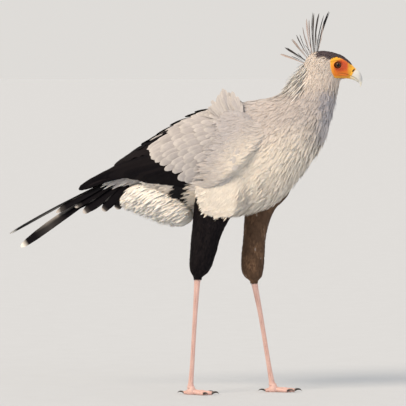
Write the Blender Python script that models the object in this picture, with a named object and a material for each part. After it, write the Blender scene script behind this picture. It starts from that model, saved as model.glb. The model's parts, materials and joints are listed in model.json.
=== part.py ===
"""Secretary bird standing at rest, life size, as a still museum model.

The bird faces +X, its left side is +Y and +Z is up. The soles of both feet are at Z = 0.
Every driving size is in millimetres and MM turns it into metres. The flesh is one outer form,
a loft through named stations, which thin planes part into torso, neck, hindhead and head.
"""

import math

import bmesh
import bpy
import numpy as np
from mathutils import Matrix, Vector

MM = 0.001
GAP = 0.3
# Added to every part at the end, so that the box of the whole bird is centred on the origin.
FRAME_SHIFT = (-3.0, 0.0, 0.0)
RIGHT, LEFT = -1, 1
SIDE_NAMES = {RIGHT: "right", LEFT: "left"}

# Finishes by slot: name, linear RGB and roughness.
FINISHES = {
    "grey": ("grey plumage", (0.50, 0.47, 0.45), 0.85),
    "white": ("white plumage", (0.78, 0.73, 0.66), 0.9),
    "black": ("black plumage", (0.012, 0.011, 0.013), 0.6),
    "face": ("bare face skin", (0.80, 0.20, 0.02), 0.5),
    "bill": ("bill horn", (0.55, 0.58, 0.52), 0.35),
    "leg": ("leg skin", (0.72, 0.47, 0.42), 0.55),
    "claw": ("claw horn", (0.03, 0.025, 0.02), 0.35),
    "eye": ("brown eye", (0.05, 0.018, 0.008), 0.08),
}

# Stations of the outer form, from the tips of the folded wings forward to the root of the bill:
# back x, back z, belly x, belly z and half width.
STATIONS = np.array(
    (
        (-306, 575, -302, 556, 18),
        (-223, 615, -218, 588, 32),
        (-152, 658, -146, 585, 44),
        (-95, 692, -90, 566, 56),
        (-24, 738, -24, 546, 69),
        (47, 774, 47, 524, 80),
        (118, 799, 124, 510, 87),
        (175, 814, 200, 522, 89),
        (215, 821, 274, 558, 87),
        (243, 826, 334, 628, 80),
        (263, 832, 380, 692, 70),
        (288, 843, 409, 750, 59),
        (308, 863, 423, 801, 50),
        (325, 886, 430, 837, 44),
        (338, 908, 436, 865, 39),
        (347, 933, 441, 876, 36),
        (363, 951, 445, 879, 35),
        (391, 958, 448, 881, 34),
        (419, 954.5, 452, 881, 32),
        (445, 946, 458, 881, 28),
        (465, 932, 465, 881, 22),
        (477, 918, 472, 881, 15),
    ),
    float,
)
RUMP_STATION = 3.0
RUMP_ROUNDING = 0.6
CHEST_STATION = 8.0
HEAD_STATION = 14.0
LAST_STATION = len(STATIONS) - 1.0
FORM_SIDES = 20

# Planes that part the form: a point on each and the direction forward along the body.
NECK_BASE = ((291, 0, 850), (415, 0, 765))
HEAD_BASE = ((334, 0, 910), (436, 0, 865))
FACE_BASE = ((383, 0, 974), (417, 0, 862))
BILL_BASE = ((475.6, 0, 919), (470.4, 0, 880))

CREST_SEED = 11

EYE_CENTRE = (440, 23, 919)
EYE_RADIUS = 11.0

# Upper and lower angle of the folded wing at each station from the tips forward.
WING_EDGES = ((34, 72), (20, 96), (16, 122), (14, 124), (14, 122), (17, 119), (27, 103), (43, 86), (62, 68))
# The wing's pad: where it starts and ends, how far it stands out, how deep it reaches into the form, what
# share of the wing's height each edge leaves free, and its steps along and across.
PAD_FRONT_STATION = 7.7
PAD_REAR_STATION = 3.3
PAD_THICKNESS = 9.0
PAD_DEPTH = 6.0
PAD_INSET = 0.08
PAD_STEPS = 9
PAD_COLUMNS = 5


def clear_scene():
    """Remove every object that the startup file holds."""
    for obj in list(bpy.data.objects):
        bpy.data.objects.remove(obj)


def make_material(name, colour, roughness):
    """A plain Principled material."""
    material = bpy.data.materials.new(name)
    material.use_nodes = True
    shader = material.node_tree.nodes["Principled BSDF"]
    shader.inputs["Base Color"].default_value = (*colour, 1.0)
    shader.inputs["Roughness"].default_value = roughness
    shader.inputs["Metallic"].default_value = 0.0
    return material


def make_object(name, bm, material, collection):
    """Wrap a bmesh in millimetres as a named object in metres."""
    mesh = bpy.data.meshes.new(name)
    bmesh.ops.recalc_face_normals(bm, faces=bm.faces)
    bm.to_mesh(mesh)
    bm.free()
    mesh.transform(Matrix.Scale(MM, 4))
    mesh.materials.append(material)
    obj = bpy.data.objects.new(name, mesh)
    collection.objects.link(obj)
    return obj


def catmull_rom(table, place):
    """Row of the table at a fractional index, on a smooth curve through its rows."""
    last = len(table) - 1
    index = min(max(int(math.floor(place)), 0), last - 1)
    t = min(max(place - index, 0.0), 1.0)
    before = table[max(index - 1, 0)]
    first, second = table[index], table[index + 1]
    after = table[min(index + 2, last)]
    return 0.5 * (
        2 * first
        + (second - before) * t
        + (2 * before - 5 * first + 4 * second - after) * t**2
        + (3 * first - before - 3 * second + after) * t**3
    )


def section(place):
    """Centre, half height vector and half width of the form's section at a station."""
    back_x, back_z, belly_x, belly_z, half_width = catmull_rom(STATIONS, place)
    back, belly = Vector((back_x, 0, back_z)), Vector((belly_x, 0, belly_z))
    return (back + belly) / 2, (back - belly) / 2, half_width


def form_point(place, degrees, lift=0.0):
    """Point of the form. The angle runs from 0 at the back to 180 at the belly, positive on the left."""
    angle = math.radians(degrees)
    centre, up, half_width = section(place)
    side = Vector((0, half_width, 0))
    across = up.normalized() * math.cos(angle) / up.length + Vector((0, math.sin(angle) / half_width, 0))
    return centre + up * math.cos(angle) + side * math.sin(angle) + across.normalized() * lift


def form_normal(place, degrees):
    """Outward direction of the form at a station and angle."""
    return (form_point(place, degrees, 1.0) - form_point(place, degrees)).normalized()


def loft(rings, start_pole=None, end_pole=None, strip_ends=False):
    """Closed bmesh through rings of equal length. Each end is a fan to its pole or centre, or a flat strip."""
    bm = bmesh.new()
    rows = [[bm.verts.new(point) for point in ring] for ring in rings]
    count = len(rings[0])
    for lower, upper in zip(rows, rows[1:]):
        for i in range(count):
            j = (i + 1) % count
            bm.faces.new((lower[i], lower[j], upper[j], upper[i]))
    for row, pole in ((rows[0], start_pole), (rows[-1], end_pole)):
        if strip_ends:
            for i in range(count // 2 - 1):
                bm.faces.new((row[i], row[i + 1], row[count - 2 - i], row[count - 1 - i]))
            continue
        middle = sum((v.co for v in row), Vector()) / count
        tip = bm.verts.new(middle if pole is None else pole)
        for i in range(count):
            bm.faces.new((row[i], row[(i + 1) % count], tip))
    bmesh.ops.triangulate(bm, faces=bm.faces)
    return bm


def ellipse_ring(centre, half_u, half_v, count, phase=0.0):
    """Points of an ellipse about a centre, with its two half axes given as vectors."""
    turns = [2 * math.pi * (i + phase) / count for i in range(count)]
    return [centre + half_u * math.cos(turn) + half_v * math.sin(turn) for turn in turns]


def body_form(lift=0.0):
    """The whole flesh from rump to bill root, grown outwards by the lift."""
    rump = [RUMP_STATION - RUMP_ROUNDING * f for f in (0.95, 0.75, 0.4)]
    trunk = list(np.arange(RUMP_STATION, CHEST_STATION, 1.0)) + list(np.arange(CHEST_STATION, HEAD_STATION, 0.5))
    head = list(np.arange(HEAD_STATION, LAST_STATION + 0.01, 0.5))
    rings = []
    for place in rump + trunk + head:
        shrink = math.sqrt(max(0.0, 1 - ((RUMP_STATION - min(place, RUMP_STATION)) / RUMP_ROUNDING) ** 2))
        centre, up, half_width = section(place)
        up_size = up.length * shrink + lift
        ring = ellipse_ring(
            centre, up.normalized() * up_size, Vector((0, half_width * shrink + lift, 0)), FORM_SIDES
        )
        rings.append(ring)
    end_centre, _, _ = section(RUMP_STATION - RUMP_ROUNDING)
    return loft(rings, start_pole=end_centre - Vector((lift, 0, 0)))


def keep_side(bm, line, forward, gap=GAP):
    """Cut the bmesh along the plane through a side-view line and keep one side, half a gap short of it."""
    first, second = Vector(line[0]), Vector(line[1])
    normal = Vector((0, 1, 0)).cross(second - first).normalized()
    # Forward along the body means mainly ahead or mainly up.
    if max(normal.x, normal.z, key=abs) < 0:
        normal.negate()
    side = 1 if forward else -1
    cut = bmesh.ops.bisect_plane(
        bm,
        geom=bm.verts[:] + bm.edges[:] + bm.faces[:],
        plane_co=first + normal * side * gap / 2,
        plane_no=normal,
        clear_inner=forward,
        clear_outer=not forward,
    )
    edges = [e for e in cut["geom_cut"] if isinstance(e, bmesh.types.BMEdge)]
    bmesh.ops.holes_fill(bm, edges=edges)
    return bm


def apply_boolean(obj, operation, other=None, collection=None, solver="EXACT"):
    """Apply one Boolean to the object, with another object or a collection of them."""
    modifier = obj.modifiers.new(operation.lower(), "BOOLEAN")
    modifier.operation = operation
    modifier.solver = solver
    if collection is None:
        modifier.object = other
    else:
        modifier.operand_type = "COLLECTION"
        modifier.collection = collection
    graph = bpy.context.evaluated_depsgraph_get()
    mesh = bpy.data.meshes.new_from_object(obj.evaluated_get(graph))
    obj.modifiers.clear()
    old = obj.data
    obj.data = mesh
    bpy.data.meshes.remove(old)


def keep_largest(obj):
    """Keep only the largest closed surface of the object's mesh."""
    bm = bmesh.new()
    bm.from_mesh(obj.data)
    unseen = set(bm.verts)
    islands = []
    while unseen:
        island, front = set(), [unseen.pop()]
        while front:
            vert = front.pop()
            island.add(vert)
            linked = {edge.other_vert(vert) for edge in vert.link_edges} & unseen
            unseen -= linked
            front.extend(linked)
        islands.append(island)
    islands.sort(key=lambda verts: spread(verts), reverse=True)
    for island in islands[1:]:
        bmesh.ops.delete(bm, geom=list(island), context="VERTS")
    bm.to_mesh(obj.data)
    bm.free()


def spread(verts):
    """Diagonal of the box round some vertices."""
    points = np.array([v.co for v in verts])
    return float(np.linalg.norm(points.max(axis=0) - points.min(axis=0)))


def carve(obj, cutter_bm, cutters):
    """Cut a closed bmesh away from an object."""
    cutter = make_object(obj.name + "_cutter", cutter_bm, obj.data.materials[0], cutters)
    apply_boolean(obj, "DIFFERENCE", other=cutter)
    bpy.data.objects.remove(cutter)
    keep_largest(obj)


def vane(line, normals, half_widths, thickness, camber=None):
    """Flat tapered feather as a bmesh. With a camber it has six points a section, else four."""
    rows = []
    last = len(line) - 1
    for i, point in enumerate(line):
        tangent = (line[min(i + 1, last)] - line[max(i - 1, 0)]).normalized()
        normal = (normals[i] - tangent * normals[i].dot(tangent)).normalized()
        across = tangent.cross(normal) * half_widths[i]
        if camber is None:
            rows.append((point + across, point + normal * thickness, point - across, point - normal * thickness / 4))
            continue
        skin = normal * thickness / 2
        ridge = point + normal * camber * half_widths[i]
        left, right = point + across, point - across
        rows.append((left + skin, ridge + skin, right + skin, right - skin, ridge - skin, left - skin))
    return loft(rows, strip_ends=True)


def curve_points(start, bend, end, shares):
    """Points of the quadratic curve from start to end, drawn towards the bend."""
    return [start * (1 - t) ** 2 + bend * 2 * t * (1 - t) + end * t**2 for t in shares]


def fuse(obj, pieces):
    """Join closed bmeshes to the object as one surface."""
    holder = bpy.data.collections.new(obj.name + "_pieces")
    bpy.context.scene.collection.children.link(holder)
    for number, piece in enumerate(pieces):
        make_object("%s_%d" % (obj.name, number), piece, obj.data.materials[0], holder)
    apply_boolean(obj, "UNION", collection=holder)
    for piece in list(holder.objects):
        bpy.data.objects.remove(piece)
    bpy.data.collections.remove(holder)
    keep_largest(obj)


# Shape of a pointed lock of feathers: shares of its length and its widths there.
LOCK_SHARES = (0.0, 0.4, 0.75, 1.0)
LOCK_WIDTHS = (0.7, 1.0, 0.75, 0.12)


def lock(root, bend, tip, facing, half_width, thickness):
    """Pointed lock of feathers from root to tip, drawn towards the bend, with its flat side to the facing."""
    line = curve_points(root, bend, tip, LOCK_SHARES)
    return vane(line, [facing] * len(line), [half_width * w for w in LOCK_WIDTHS], thickness)


def ball(centre, radius, segments=12, rings=8):
    """UV sphere as a bmesh."""
    bm = bmesh.new()
    bmesh.ops.create_uvsphere(bm, u_segments=segments, v_segments=rings, radius=radius)
    bmesh.ops.rotate(bm, verts=bm.verts, cent=Vector(), matrix=Matrix.Rotation(math.radians(90), 3, "X"))
    bmesh.ops.translate(bm, verts=bm.verts, vec=Vector(centre))
    return bm


def surface_at(x, z, side):
    """Point and outward direction of the head's side nearest to a place in the side view."""
    places = [(place, angle) for place in np.arange(16.0, 21.0, 0.1) for angle in range(30, 160, 2)]

    def miss(candidate):
        point = form_point(candidate[0], side * candidate[1])
        return (point.x - x) ** 2 + (point.z - z) ** 2

    place, angle = min(places, key=miss)
    return form_point(place, side * angle), form_normal(place, side * angle)


# The ring of the lids: its radius, the thickness of a lid, how far it lies outside the eye's centre,
# how much longer it is than high and how far its front turns in.
LID_MAJOR = 9.6
LID_MINOR = 2.1
LID_OUT = 5.5
LID_STRETCH = 1.12
LID_LEAN = 0.12
LID_STEPS = 10
# Brow ridge and line of the mouth, as x and z in the side view.
BROW = ((420, 929), (434, 934), (448, 933), (462, 926))
BROW_SIZES = (1.2, 3.4, 3.6, 1.2)
GAPE = ((441, 896.5), (452, 896), (462, 893.8), (471, 891), (478, 888.6))
GAPE_DEPTH, GAPE_HALF_HEIGHT = 2.4, 0.55


def lid_ring(side):
    """The bare lids round one eye, as a ring that leans with the side of the head."""
    x, y, z = EYE_CENTRE
    centre = Vector((x, side * (y + LID_OUT), z))
    rings = []
    for i in range(LID_STEPS):
        turn = 2 * math.pi * i / LID_STEPS
        out = Vector((math.cos(turn), -side * LID_LEAN * math.cos(turn), math.sin(turn)))
        wide = LID_MAJOR * (LID_STRETCH if abs(math.cos(turn)) > 0.9 else 1.0)
        middle = centre + out * wide
        rings.append(ellipse_ring(middle, out * LID_MINOR, Vector((0, LID_MINOR * 1.3, 0)), 5))
    bm = bmesh.new()
    rows = [[bm.verts.new(point) for point in ring] for ring in rings]
    for i, row in enumerate(rows):
        after = rows[(i + 1) % len(rows)]
        for k in range(len(row)):
            following = (k + 1) % len(row)
            bm.faces.new((row[k], row[following], after[following], after[k]))
    bmesh.ops.triangulate(bm, faces=bm.faces)
    return bm


def brow_ridge(side):
    """Low ridge of skin that shades one eye."""
    rings = []
    for (x, z), size in zip(BROW, BROW_SIZES):
        point, out = surface_at(x, z, side)
        up = Vector((0, 0, 1)) - out * out.z
        rings.append(ellipse_ring(point + out * 0.2 * size, out * size, up.normalized() * size * 0.9, 6))
    return loft(rings)


def gape_cutter(side):
    """Thin slit that carries the line of the mouth back into the cheek."""
    rings = []
    high = Vector((0, 0, GAPE_HALF_HEIGHT))
    for x, z in GAPE:
        point, out = surface_at(x, z, side)
        inner, outer = point - out * GAPE_DEPTH, point + out * 4
        rings.append((inner + high, outer + high, outer - high, inner - high))
    return loft(rings)


# Nostril: x and z in the side view, distance from the middle, half sizes and tilt in degrees.
NOSTRIL = (480.5, 904.6)
NOSTRIL_Y = 12.6
NOSTRIL_HALF = (5.8, 3.6, 1.8)
NOSTRIL_TILT = 38.0


def nostril_cutter(side):
    """Slanting oval pit of one nostril."""
    bm = ball((0, 0, 0), 1.0, 8, 6)
    bmesh.ops.scale(bm, vec=NOSTRIL_HALF, verts=bm.verts)
    bmesh.ops.rotate(bm, verts=bm.verts, matrix=Matrix.Rotation(math.radians(-NOSTRIL_TILT), 3, "Y"))
    bmesh.ops.translate(bm, verts=bm.verts, vec=(NOSTRIL[0], side * NOSTRIL_Y, NOSTRIL[1]))
    return bm


def wing_edges(place):
    """Upper and lower angle of the folded wing at a station."""
    return catmull_rom(np.array(WING_EDGES, float), place)


def wing_pad(side):
    """The folded wing's flesh and its coat of feather bases: a bowed pad on the form."""
    rings = []
    for share in np.linspace(0, 1, PAD_STEPS + 1):
        place = PAD_FRONT_STATION + (PAD_REAR_STATION - PAD_FRONT_STATION) * share
        upper, lower = wing_edges(place)
        inset = (lower - upper) * PAD_INSET
        upper, lower = upper + inset, lower - inset
        fullness = math.sin(math.pi * min(max(share, 0.03), 0.9)) ** 0.5
        outer, inner = [], []
        for across in np.linspace(0, 1, PAD_COLUMNS + 1):
            angle = side * (upper + (lower - upper) * across)
            bow = math.sin(math.pi * (0.2 + 0.6 * across))
            outer.append(form_point(place, angle, PAD_THICKNESS * fullness * bow))
            inner.append(form_point(place, angle, -PAD_DEPTH))
        rings.append(outer + inner[::-1])
    return loft(rings)


# Feather tiers of the folded wing: tips as station and angle from the back to the belly, how far from the
# shoulder the roots lie, lifts of root, middle and tip, half width and shape.
SHOULDER = (7.4, 66.0)
TIERS = (
    (((0.45, 70), (0.2, 90)), 0.42, (4.2, 4.6, 3.6), 14, "flight"),
    (((1.05, 64), (1.25, 92), (2.0, 111), (3.0, 120), (4.05, 122)), 0.4, (4.5, 7.2, 6.5), 22, "flight"),
    (((1.5, 38), (2.4, 23)), 0.36, (3.0, 11.5, 12.0), 22, "flight"),
    (
        ((3.0, 34), (3.05, 56), (3.3, 77), (3.8, 96), (4.4, 112), (5.15, 120), (5.9, 117)),
        0.44, (3.0, 10.0, 10.5), 23, "covert",
    ),
    (((3.85, 30), (4.05, 54), (4.35, 77), (4.9, 97), (5.6, 108)), 0.36, (3.0, 14.0, 14.5), 23, "covert"),
    (((4.8, 36), (5.05, 60), (5.45, 81), (6.05, 97)), 0.26, (3.0, 18.0, 18.5), 22, "covert"),
    (((5.8, 46), (6.25, 72)), 0.08, (2.5, 20.0, 21.0), 21, "covert"),
    (((3.5, 16), (4.5, 14), (5.5, 16)), 0.42, (2.5, 11.0, 14.5), 20, "covert"),
)
# For each shape of feather: shares of its length, widths there, thickness, camber and tilt over its neighbour.
SHAPES = {
    "flight": ((0.0, 0.3, 0.75, 1.0), (0.25, 0.85, 0.95, 0.3), 1.0, 0.1, 11.0),
    "covert": ((0.0, 0.45, 0.85, 1.0), (0.3, 0.95, 0.95, 0.35), 1.1, None, 5.0),
}
# Raised scapulars of the shoulder: root station and angle, tip x, y and z.
RAISED = {
    RIGHT: ((6.5, 38, 113, -30, 854), (6.65, 45, 133, -42, 846)),
    LEFT: ((6.45, 38, 106, 31, 839), (6.6, 46, 128, 44, 834)),
}
RAISED_HALF_WIDTH = 9.5
WING_SEED = 23


def wing_feathers(side):
    """Every feather of one folded wing, laid on the form in overlapping tiers that fan from the shoulder."""
    random = np.random.default_rng(WING_SEED)
    feathers = []
    for tips, root_share, (root_lift, middle_lift, tip_lift), tier_half_width, shape in TIERS:
        shares, widths, thickness, camber, tilt = SHAPES[shape]
        for tip_place, tip_angle in tips:
            tip_place += random.uniform(-0.07, 0.07)
            tip_angle += random.uniform(-1.5, 1.5)
            root_place = SHOULDER[0] + (tip_place - SHOULDER[0]) * root_share
            root_angle = SHOULDER[1] + (tip_angle - SHOULDER[1]) * root_share
            half_width = tier_half_width * random.uniform(0.93, 1.07)
            line, normals = [], []
            for share in shares:
                place = root_place + (tip_place - root_place) * share
                angle = side * (root_angle + (tip_angle - root_angle) * share)
                lift = root_lift * (1 - share) ** 2 + middle_lift * 2 * share * (1 - share) + tip_lift * share**2
                line.append(form_point(place, angle, lift))
                normals.append(form_normal(place, angle))
            shingle = Matrix.Rotation(math.radians(side * tilt), 3, line[-1] - line[0])
            normals = [shingle @ normal for normal in normals]
            feathers.append(vane(line, normals, [half_width * w for w in widths], thickness, camber))
    for place, angle, *tip in RAISED[side]:
        root = form_point(place, side * angle, 2.5)
        out = form_normal(place, side * angle)
        bend = root.lerp(Vector(tip), 0.45) + out * 9
        feathers.append(lock(root, bend, Vector(tip), out + Vector((0.5, 0, 0)), RAISED_HALF_WIDTH, 1.2))
    return feathers


def build_wing(side, parts, cutters, material):
    """One folded wing: the pad cut to the torso, then its feathers joined on."""
    wing = make_object("wing_" + SIDE_NAMES[side], wing_pad(side), material, parts)
    carve(wing, body_form(GAP), cutters)
    fuse(wing, wing_feathers(side))
    return wing


# Hackles on the back of the neck: station of the root, angle, length and half width.
HACKLES = (
    (13.6, 10, 50, 7), (13.5, 38, 43, 7), (13.1, 0, 50, 7.5), (13.05, 24, 48, 7.5), (12.95, 50, 41, 7.5),
    (12.7, 10, 50, 8), (12.6, 37, 46, 8), (12.3, 0, 48, 8),
)
HACKLE_SEED = 9
HACKLE_RISE = 15.0


def hackles():
    """Pointed feathers that stand off the back of the neck."""
    random = np.random.default_rng(HACKLE_SEED)
    feathers = []
    for side in (RIGHT, LEFT):
        for place, angle, length, half_width in HACKLES:
            if side == LEFT and angle == 0:
                continue
            turn = side * (angle + random.uniform(-3, 3))
            out = form_normal(place, turn)
            back = (form_point(place - 0.6, turn) - form_point(place, turn)).normalized()
            root = form_point(place, turn, -6)
            reach = length * random.uniform(0.88, 1.1)
            bend = root + back * reach * 0.35 + out * 13
            tip = root + back * reach + out * (6 + HACKLE_RISE * random.uniform(0.7, 1.1))
            feathers.append(lock(root, bend, tip, out, half_width, 1.3))
    return feathers


# Flank locks over the top of each thigh: first and last root station, number, root angle and height of the tips.
FLANK_LOCKS = {RIGHT: (4.9, 7.3, 9, 122, 494), LEFT: (5.6, 8.2, 9, 123, 500)}
FLANK_SEED = 31
FLANK_CLEARANCE = 97.0


def flank_locks():
    """Loose flank feathers that hang outside the top of each thigh, clear of it."""
    random = np.random.default_rng(FLANK_SEED)
    locks = []
    for side in (RIGHT, LEFT):
        first, last, number, angle, tip_z = FLANK_LOCKS[side]
        for place in np.linspace(first, last, number):
            root = form_point(place, side * (angle + random.uniform(-1.5, 2.5)), -7)
            tip = Vector((root.x - random.uniform(6, 26), side * FLANK_CLEARANCE, tip_z))
            tip += Vector((0, side * random.uniform(-1, 3), random.uniform(-9, 9)))
            bend = Vector(((root.x + tip.x) / 2 + 3, side * (FLANK_CLEARANCE - 9), root.z - 10))
            out = Vector((random.uniform(-0.2, 0.2), side, 0.2))
            locks.append(lock(root, bend, tip, out, random.uniform(15, 18), 1.5))
    return locks


# Tail feathers of one side, from the centre out: tip x, y and z, half width, and how far the vane leans out.
TAIL_FEATHERS = {
    RIGHT: (
        (-465, -5, 405, 15, 62),
        (-362, -11, 503, 15, 34),
        (-308, -15, 519, 15, 46),
        (-283, -18, 503, 15, 56),
        (-226, -21, 509, 15, 64),
        (-186, -22, 514, 14, 72),
    ),
    LEFT: (
        (-499, 4, 441, 14, 12),
        (-357, 11, 509, 15, 34),
        (-313, 15, 514, 15, 46),
        (-279, 18, 507, 15, 56),
        (-230, 21, 512, 15, 64),
        (-183, 22, 518, 14, 72),
    ),
}
TAIL_SHARES = (0.0, 0.4, 0.9, 1.0)
TAIL_WIDTHS = (0.3, 0.9, 0.95, 0.4)
TAIL_ROOT_X = -138
# Fleshy base of the tail: x, top, bottom and half width.
TAIL_STUMP = (
    (-88, 646, 600, 19), (-125, 643, 592, 20), (-150, 631, 586, 17), (-168, 620, 584, 12), (-178, 611, 588, 6),
)


def tail_stump(grow=0.0):
    """The fleshy base of the tail, grown outwards by some millimetres."""
    rings = []
    for x, top, bottom, half_width in TAIL_STUMP:
        centre = Vector((x, 0, (top + bottom) / 2))
        high = Vector((0, 0, (top - bottom) / 2 + grow))
        rings.append(ellipse_ring(centre, high, Vector((0, half_width + grow, 0)), 12, phase=0.5))
    return loft(rings)


def tail_feather(side, number):
    """One long feather of the closed tail; the inner pairs lie over the outer ones."""
    tip_x, tip_y, tip_z, half_width, lean = TAIL_FEATHERS[side][number]
    root = Vector((TAIL_ROOT_X - 3 * number, side * (3 + 2.4 * number), 627 - 6.5 * number))
    tip = Vector((tip_x, tip_y, tip_z))
    rise = Vector((0, side * (2 + number), 13 - 3 * number))
    line = curve_points(root, root.lerp(tip, 0.5) + rise, tip, TAIL_SHARES)
    normals = []
    for share in TAIL_SHARES:
        roll = math.radians(lean * (0.45 + 0.55 * share))
        normals.append(Vector((0.3 * math.cos(roll), side * math.sin(roll), math.cos(roll))))
    return vane(line, normals, [half_width * w for w in TAIL_WIDTHS], 1.0, camber=0.16)


def build_tail(parts, cutters, material):
    """The tail: its fleshy base cut to the torso, with the twelve feathers joined on."""
    tail = make_object("tail", tail_stump(), material, parts)
    carve(tail, body_form(GAP), cutters)
    fuse(tail, [tail_feather(side, number) for side in (RIGHT, LEFT) for number in range(6)])
    return tail


# Inner mass of the undertail feathers: x, top, bottom and half width.
FLUFF_RINGS = (
    (28, 520, 482, 28),
    (10, 558, 480, 46),
    (-30, 585, 492, 57),
    (-75, 600, 512, 59),
    (-115, 602, 530, 51),
    (-138, 588, 540, 38),
    (-150, 572, 550, 18),
)
# Side outline of the space that the tail feathers fill above the fluff.
TAIL_SPACE = ((-128, 602), (-138, 584), (-171, 500), (-240, 480), (-240, 660), (-128, 660))
TAIL_SPACE_HALF_WIDTH = 28.0


def tail_space():
    """Prism round the roots of the tail feathers, cut away from the fluff."""
    sides = (TAIL_SPACE_HALF_WIDTH, -TAIL_SPACE_HALF_WIDTH)
    return loft([[Vector((x, y, z)) for x, z in TAIL_SPACE] for y in sides])


def fluff_core():
    """Inner mass of the loose white feathers under the tail; the locks stand out from it."""
    rings = []
    for x, top, bottom, half_width in FLUFF_RINGS:
        centre = Vector((x, 0, (top + bottom) / 2))
        high = Vector((0, 0, (top - bottom) / 2))
        rings.append(ellipse_ring(centre, high, Vector((0, half_width, 0)), 12))
    return loft(rings)


FLUFF_SEED = 5
# Rows of locks, as x of the row and length of its locks, and the angles of the locks from straight down.
FLUFF_ROWS = ((6, 36), (-36, 48), (-78, 52), (-116, 46))
FLUFF_ANGLES = (-105, -63, -21, 21, 63, 105)
FLUFF_SWEEP = (-0.75, 0.1, -0.35)


def fluff_locks():
    """Loose locks in four rows round the underside, their tips outwards, down and back."""
    random = np.random.default_rng(FLUFF_SEED)
    table = np.array(FLUFF_RINGS, float)[::-1]
    back, aside, down = FLUFF_SWEEP
    locks = []
    for row, (centre_x, reach) in enumerate(FLUFF_ROWS):
        top, bottom, half = (np.interp(centre_x, table[:, 0], table[:, k]) for k in (1, 2, 3))
        middle = Vector((centre_x, 0, (top + bottom) / 2))
        stagger = 9 if row % 2 else -9
        for degrees in FLUFF_ANGLES:
            turn = math.radians(degrees + stagger + random.uniform(-4, 4))
            out = Vector((0, math.sin(turn), -math.cos(turn)))
            skin = middle + Vector((0, half * out.y, (top - bottom) / 2 * out.z))
            length = reach * random.uniform(0.85, 1.15)
            sweep = Vector((back, aside * out.y, down)) * length
            bend = skin + out * 6 + sweep * 0.4
            tip = skin + out * (10 + random.uniform(-4, 4)) + sweep
            locks.append(lock(skin - out * 7, bend, tip, out, random.uniform(20, 24), 1.6))
    return locks


def leg_rings(table, sides):
    """Rings of a leg: each row is back x, front x, centre y, half thickness and z."""
    rings = []
    for back, front, y, half, z in table:
        centre = Vector(((back + front) / 2, y, z))
        rings.append(ellipse_ring(centre, Vector(((front - back) / 2, 0, 0)), Vector((0, half, 0)), sides))
    return rings


# Feathered thighs from the heel up: back x, front x, centre y, half thickness, z.
THIGHS = {
    RIGHT: (
        (41, 61, -60, 9, 327),
        (33, 78, -60, 19, 340),
        (29, 90, -60, 25, 360),
        (31, 103, -60, 29, 400),
        (34, 114, -59, 31, 440),
        (38, 133, -58, 32, 480),
        (41, 158, -55, 32, 525),
        (48, 176, -48, 28, 560),
        (60, 180, -40, 22, 590),
    ),
    LEFT: (
        (181, 200, 60, 9, 311),
        (164, 211, 60, 19, 324),
        (156, 216, 60, 25, 345),
        (156, 219, 60, 29, 385),
        (161, 222, 59, 31, 430),
        (164, 232, 58, 32, 475),
        (168, 250, 55, 32, 515),
        (182, 284, 48, 28, 550),
        (205, 296, 40, 22, 580),
    ),
}


def build_thigh(side, parts, cutters, material):
    """One feathered thigh, cut to the torso."""
    thigh = make_object("thigh_" + SIDE_NAMES[side], loft(leg_rings(THIGHS[side], 14)), material, parts)
    carve(thigh, body_form(GAP), cutters)
    return thigh


# Bare shanks from the foot up: centre x, centre y, z, half length along x and half thickness.
SHANKS = {
    RIGHT: (
        (31, -60, 19, 10, 8.5),
        (32, -60, 34, 7, 6.5),
        (36, -60, 90, 5.6, 5),
        (43, -60, 210, 5.8, 5.2),
        (49, -60, 300, 7.5, 7),
        (51, -60, 326.5, 8.5, 7.5),
    ),
    LEFT: (
        (243, 60, 19, 10, 8.5),
        (240, 60, 34, 7, 6.5),
        (230, 60, 90, 5.6, 5),
        (210, 60, 210, 5.8, 5.2),
        (195.5, 60, 285, 7.5, 7),
        (190.5, 60, 310.5, 8.5, 7.5),
    ),
}


def build_shank(side, parts, material):
    """One bare shank, from the foot to the heel."""
    rings = [
        ellipse_ring(Vector((x, y, z)), Vector((long, 0, 0)), Vector((0, half, 0)), 12)
        for x, y, z, long, half in SHANKS[side]
    ]
    return make_object("shank_" + SIDE_NAMES[side], loft(rings), material, parts)


# Crest feathers of one side, from the front back: root station and angle, tip x, tip z, spread and half width.
CREST = (
    (16.45, 7, 412, 1068, 12, 3.8),
    (16.35, 15, 397, 1058, 5, 4.6),
    (16.2, 6, 384, 1062, 14, 3.8),
    (16.05, 17, 366, 1066, 6, 3.6),
    (15.9, 6, 350, 1048, 16, 4.4),
    (15.65, 17, 338, 1024, 6, 4.8),
    (15.4, 7, 322, 1003, 18, 4.2),
    (15.15, 17, 306, 990, 8, 4.2),
    (14.9, 7, 289, 968, 19, 3.6),
    (14.6, 15, 274, 949, 8, 3.6),
)
CREST_SHARES = (0.0, 0.42, 0.78, 1.0)
CREST_WIDTHS = (0.42, 0.65, 1.0, 0.2)
CREST_ROOT_DEPTH = 7.0


def crest_feathers():
    """Twenty long narrow feathers that stand from the hindhead, each turned a little about its shaft."""
    random = np.random.default_rng(CREST_SEED)
    feathers = []
    for side in (RIGHT, LEFT):
        for place, angle, tip_x, tip_z, spread_y, half_width in CREST:
            root = form_point(place, side * angle, -CREST_ROOT_DEPTH)
            shift = Vector(random.uniform(-4, 4, 3)) if side == LEFT else Vector()
            tip = Vector((tip_x, side * spread_y, tip_z)) + shift
            bend = root.lerp(tip, 0.5) + Vector((-7, side * 3, 5))
            turn = random.uniform(-50, 50) + side * 20
            facing = Vector((math.cos(math.radians(turn)), math.sin(math.radians(turn)), 0.2))
            line = curve_points(root, bend, tip, CREST_SHARES)
            feathers.append(vane(line, [facing] * len(line), [half_width * w for w in CREST_WIDTHS], 0.9))
    return feathers


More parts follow.
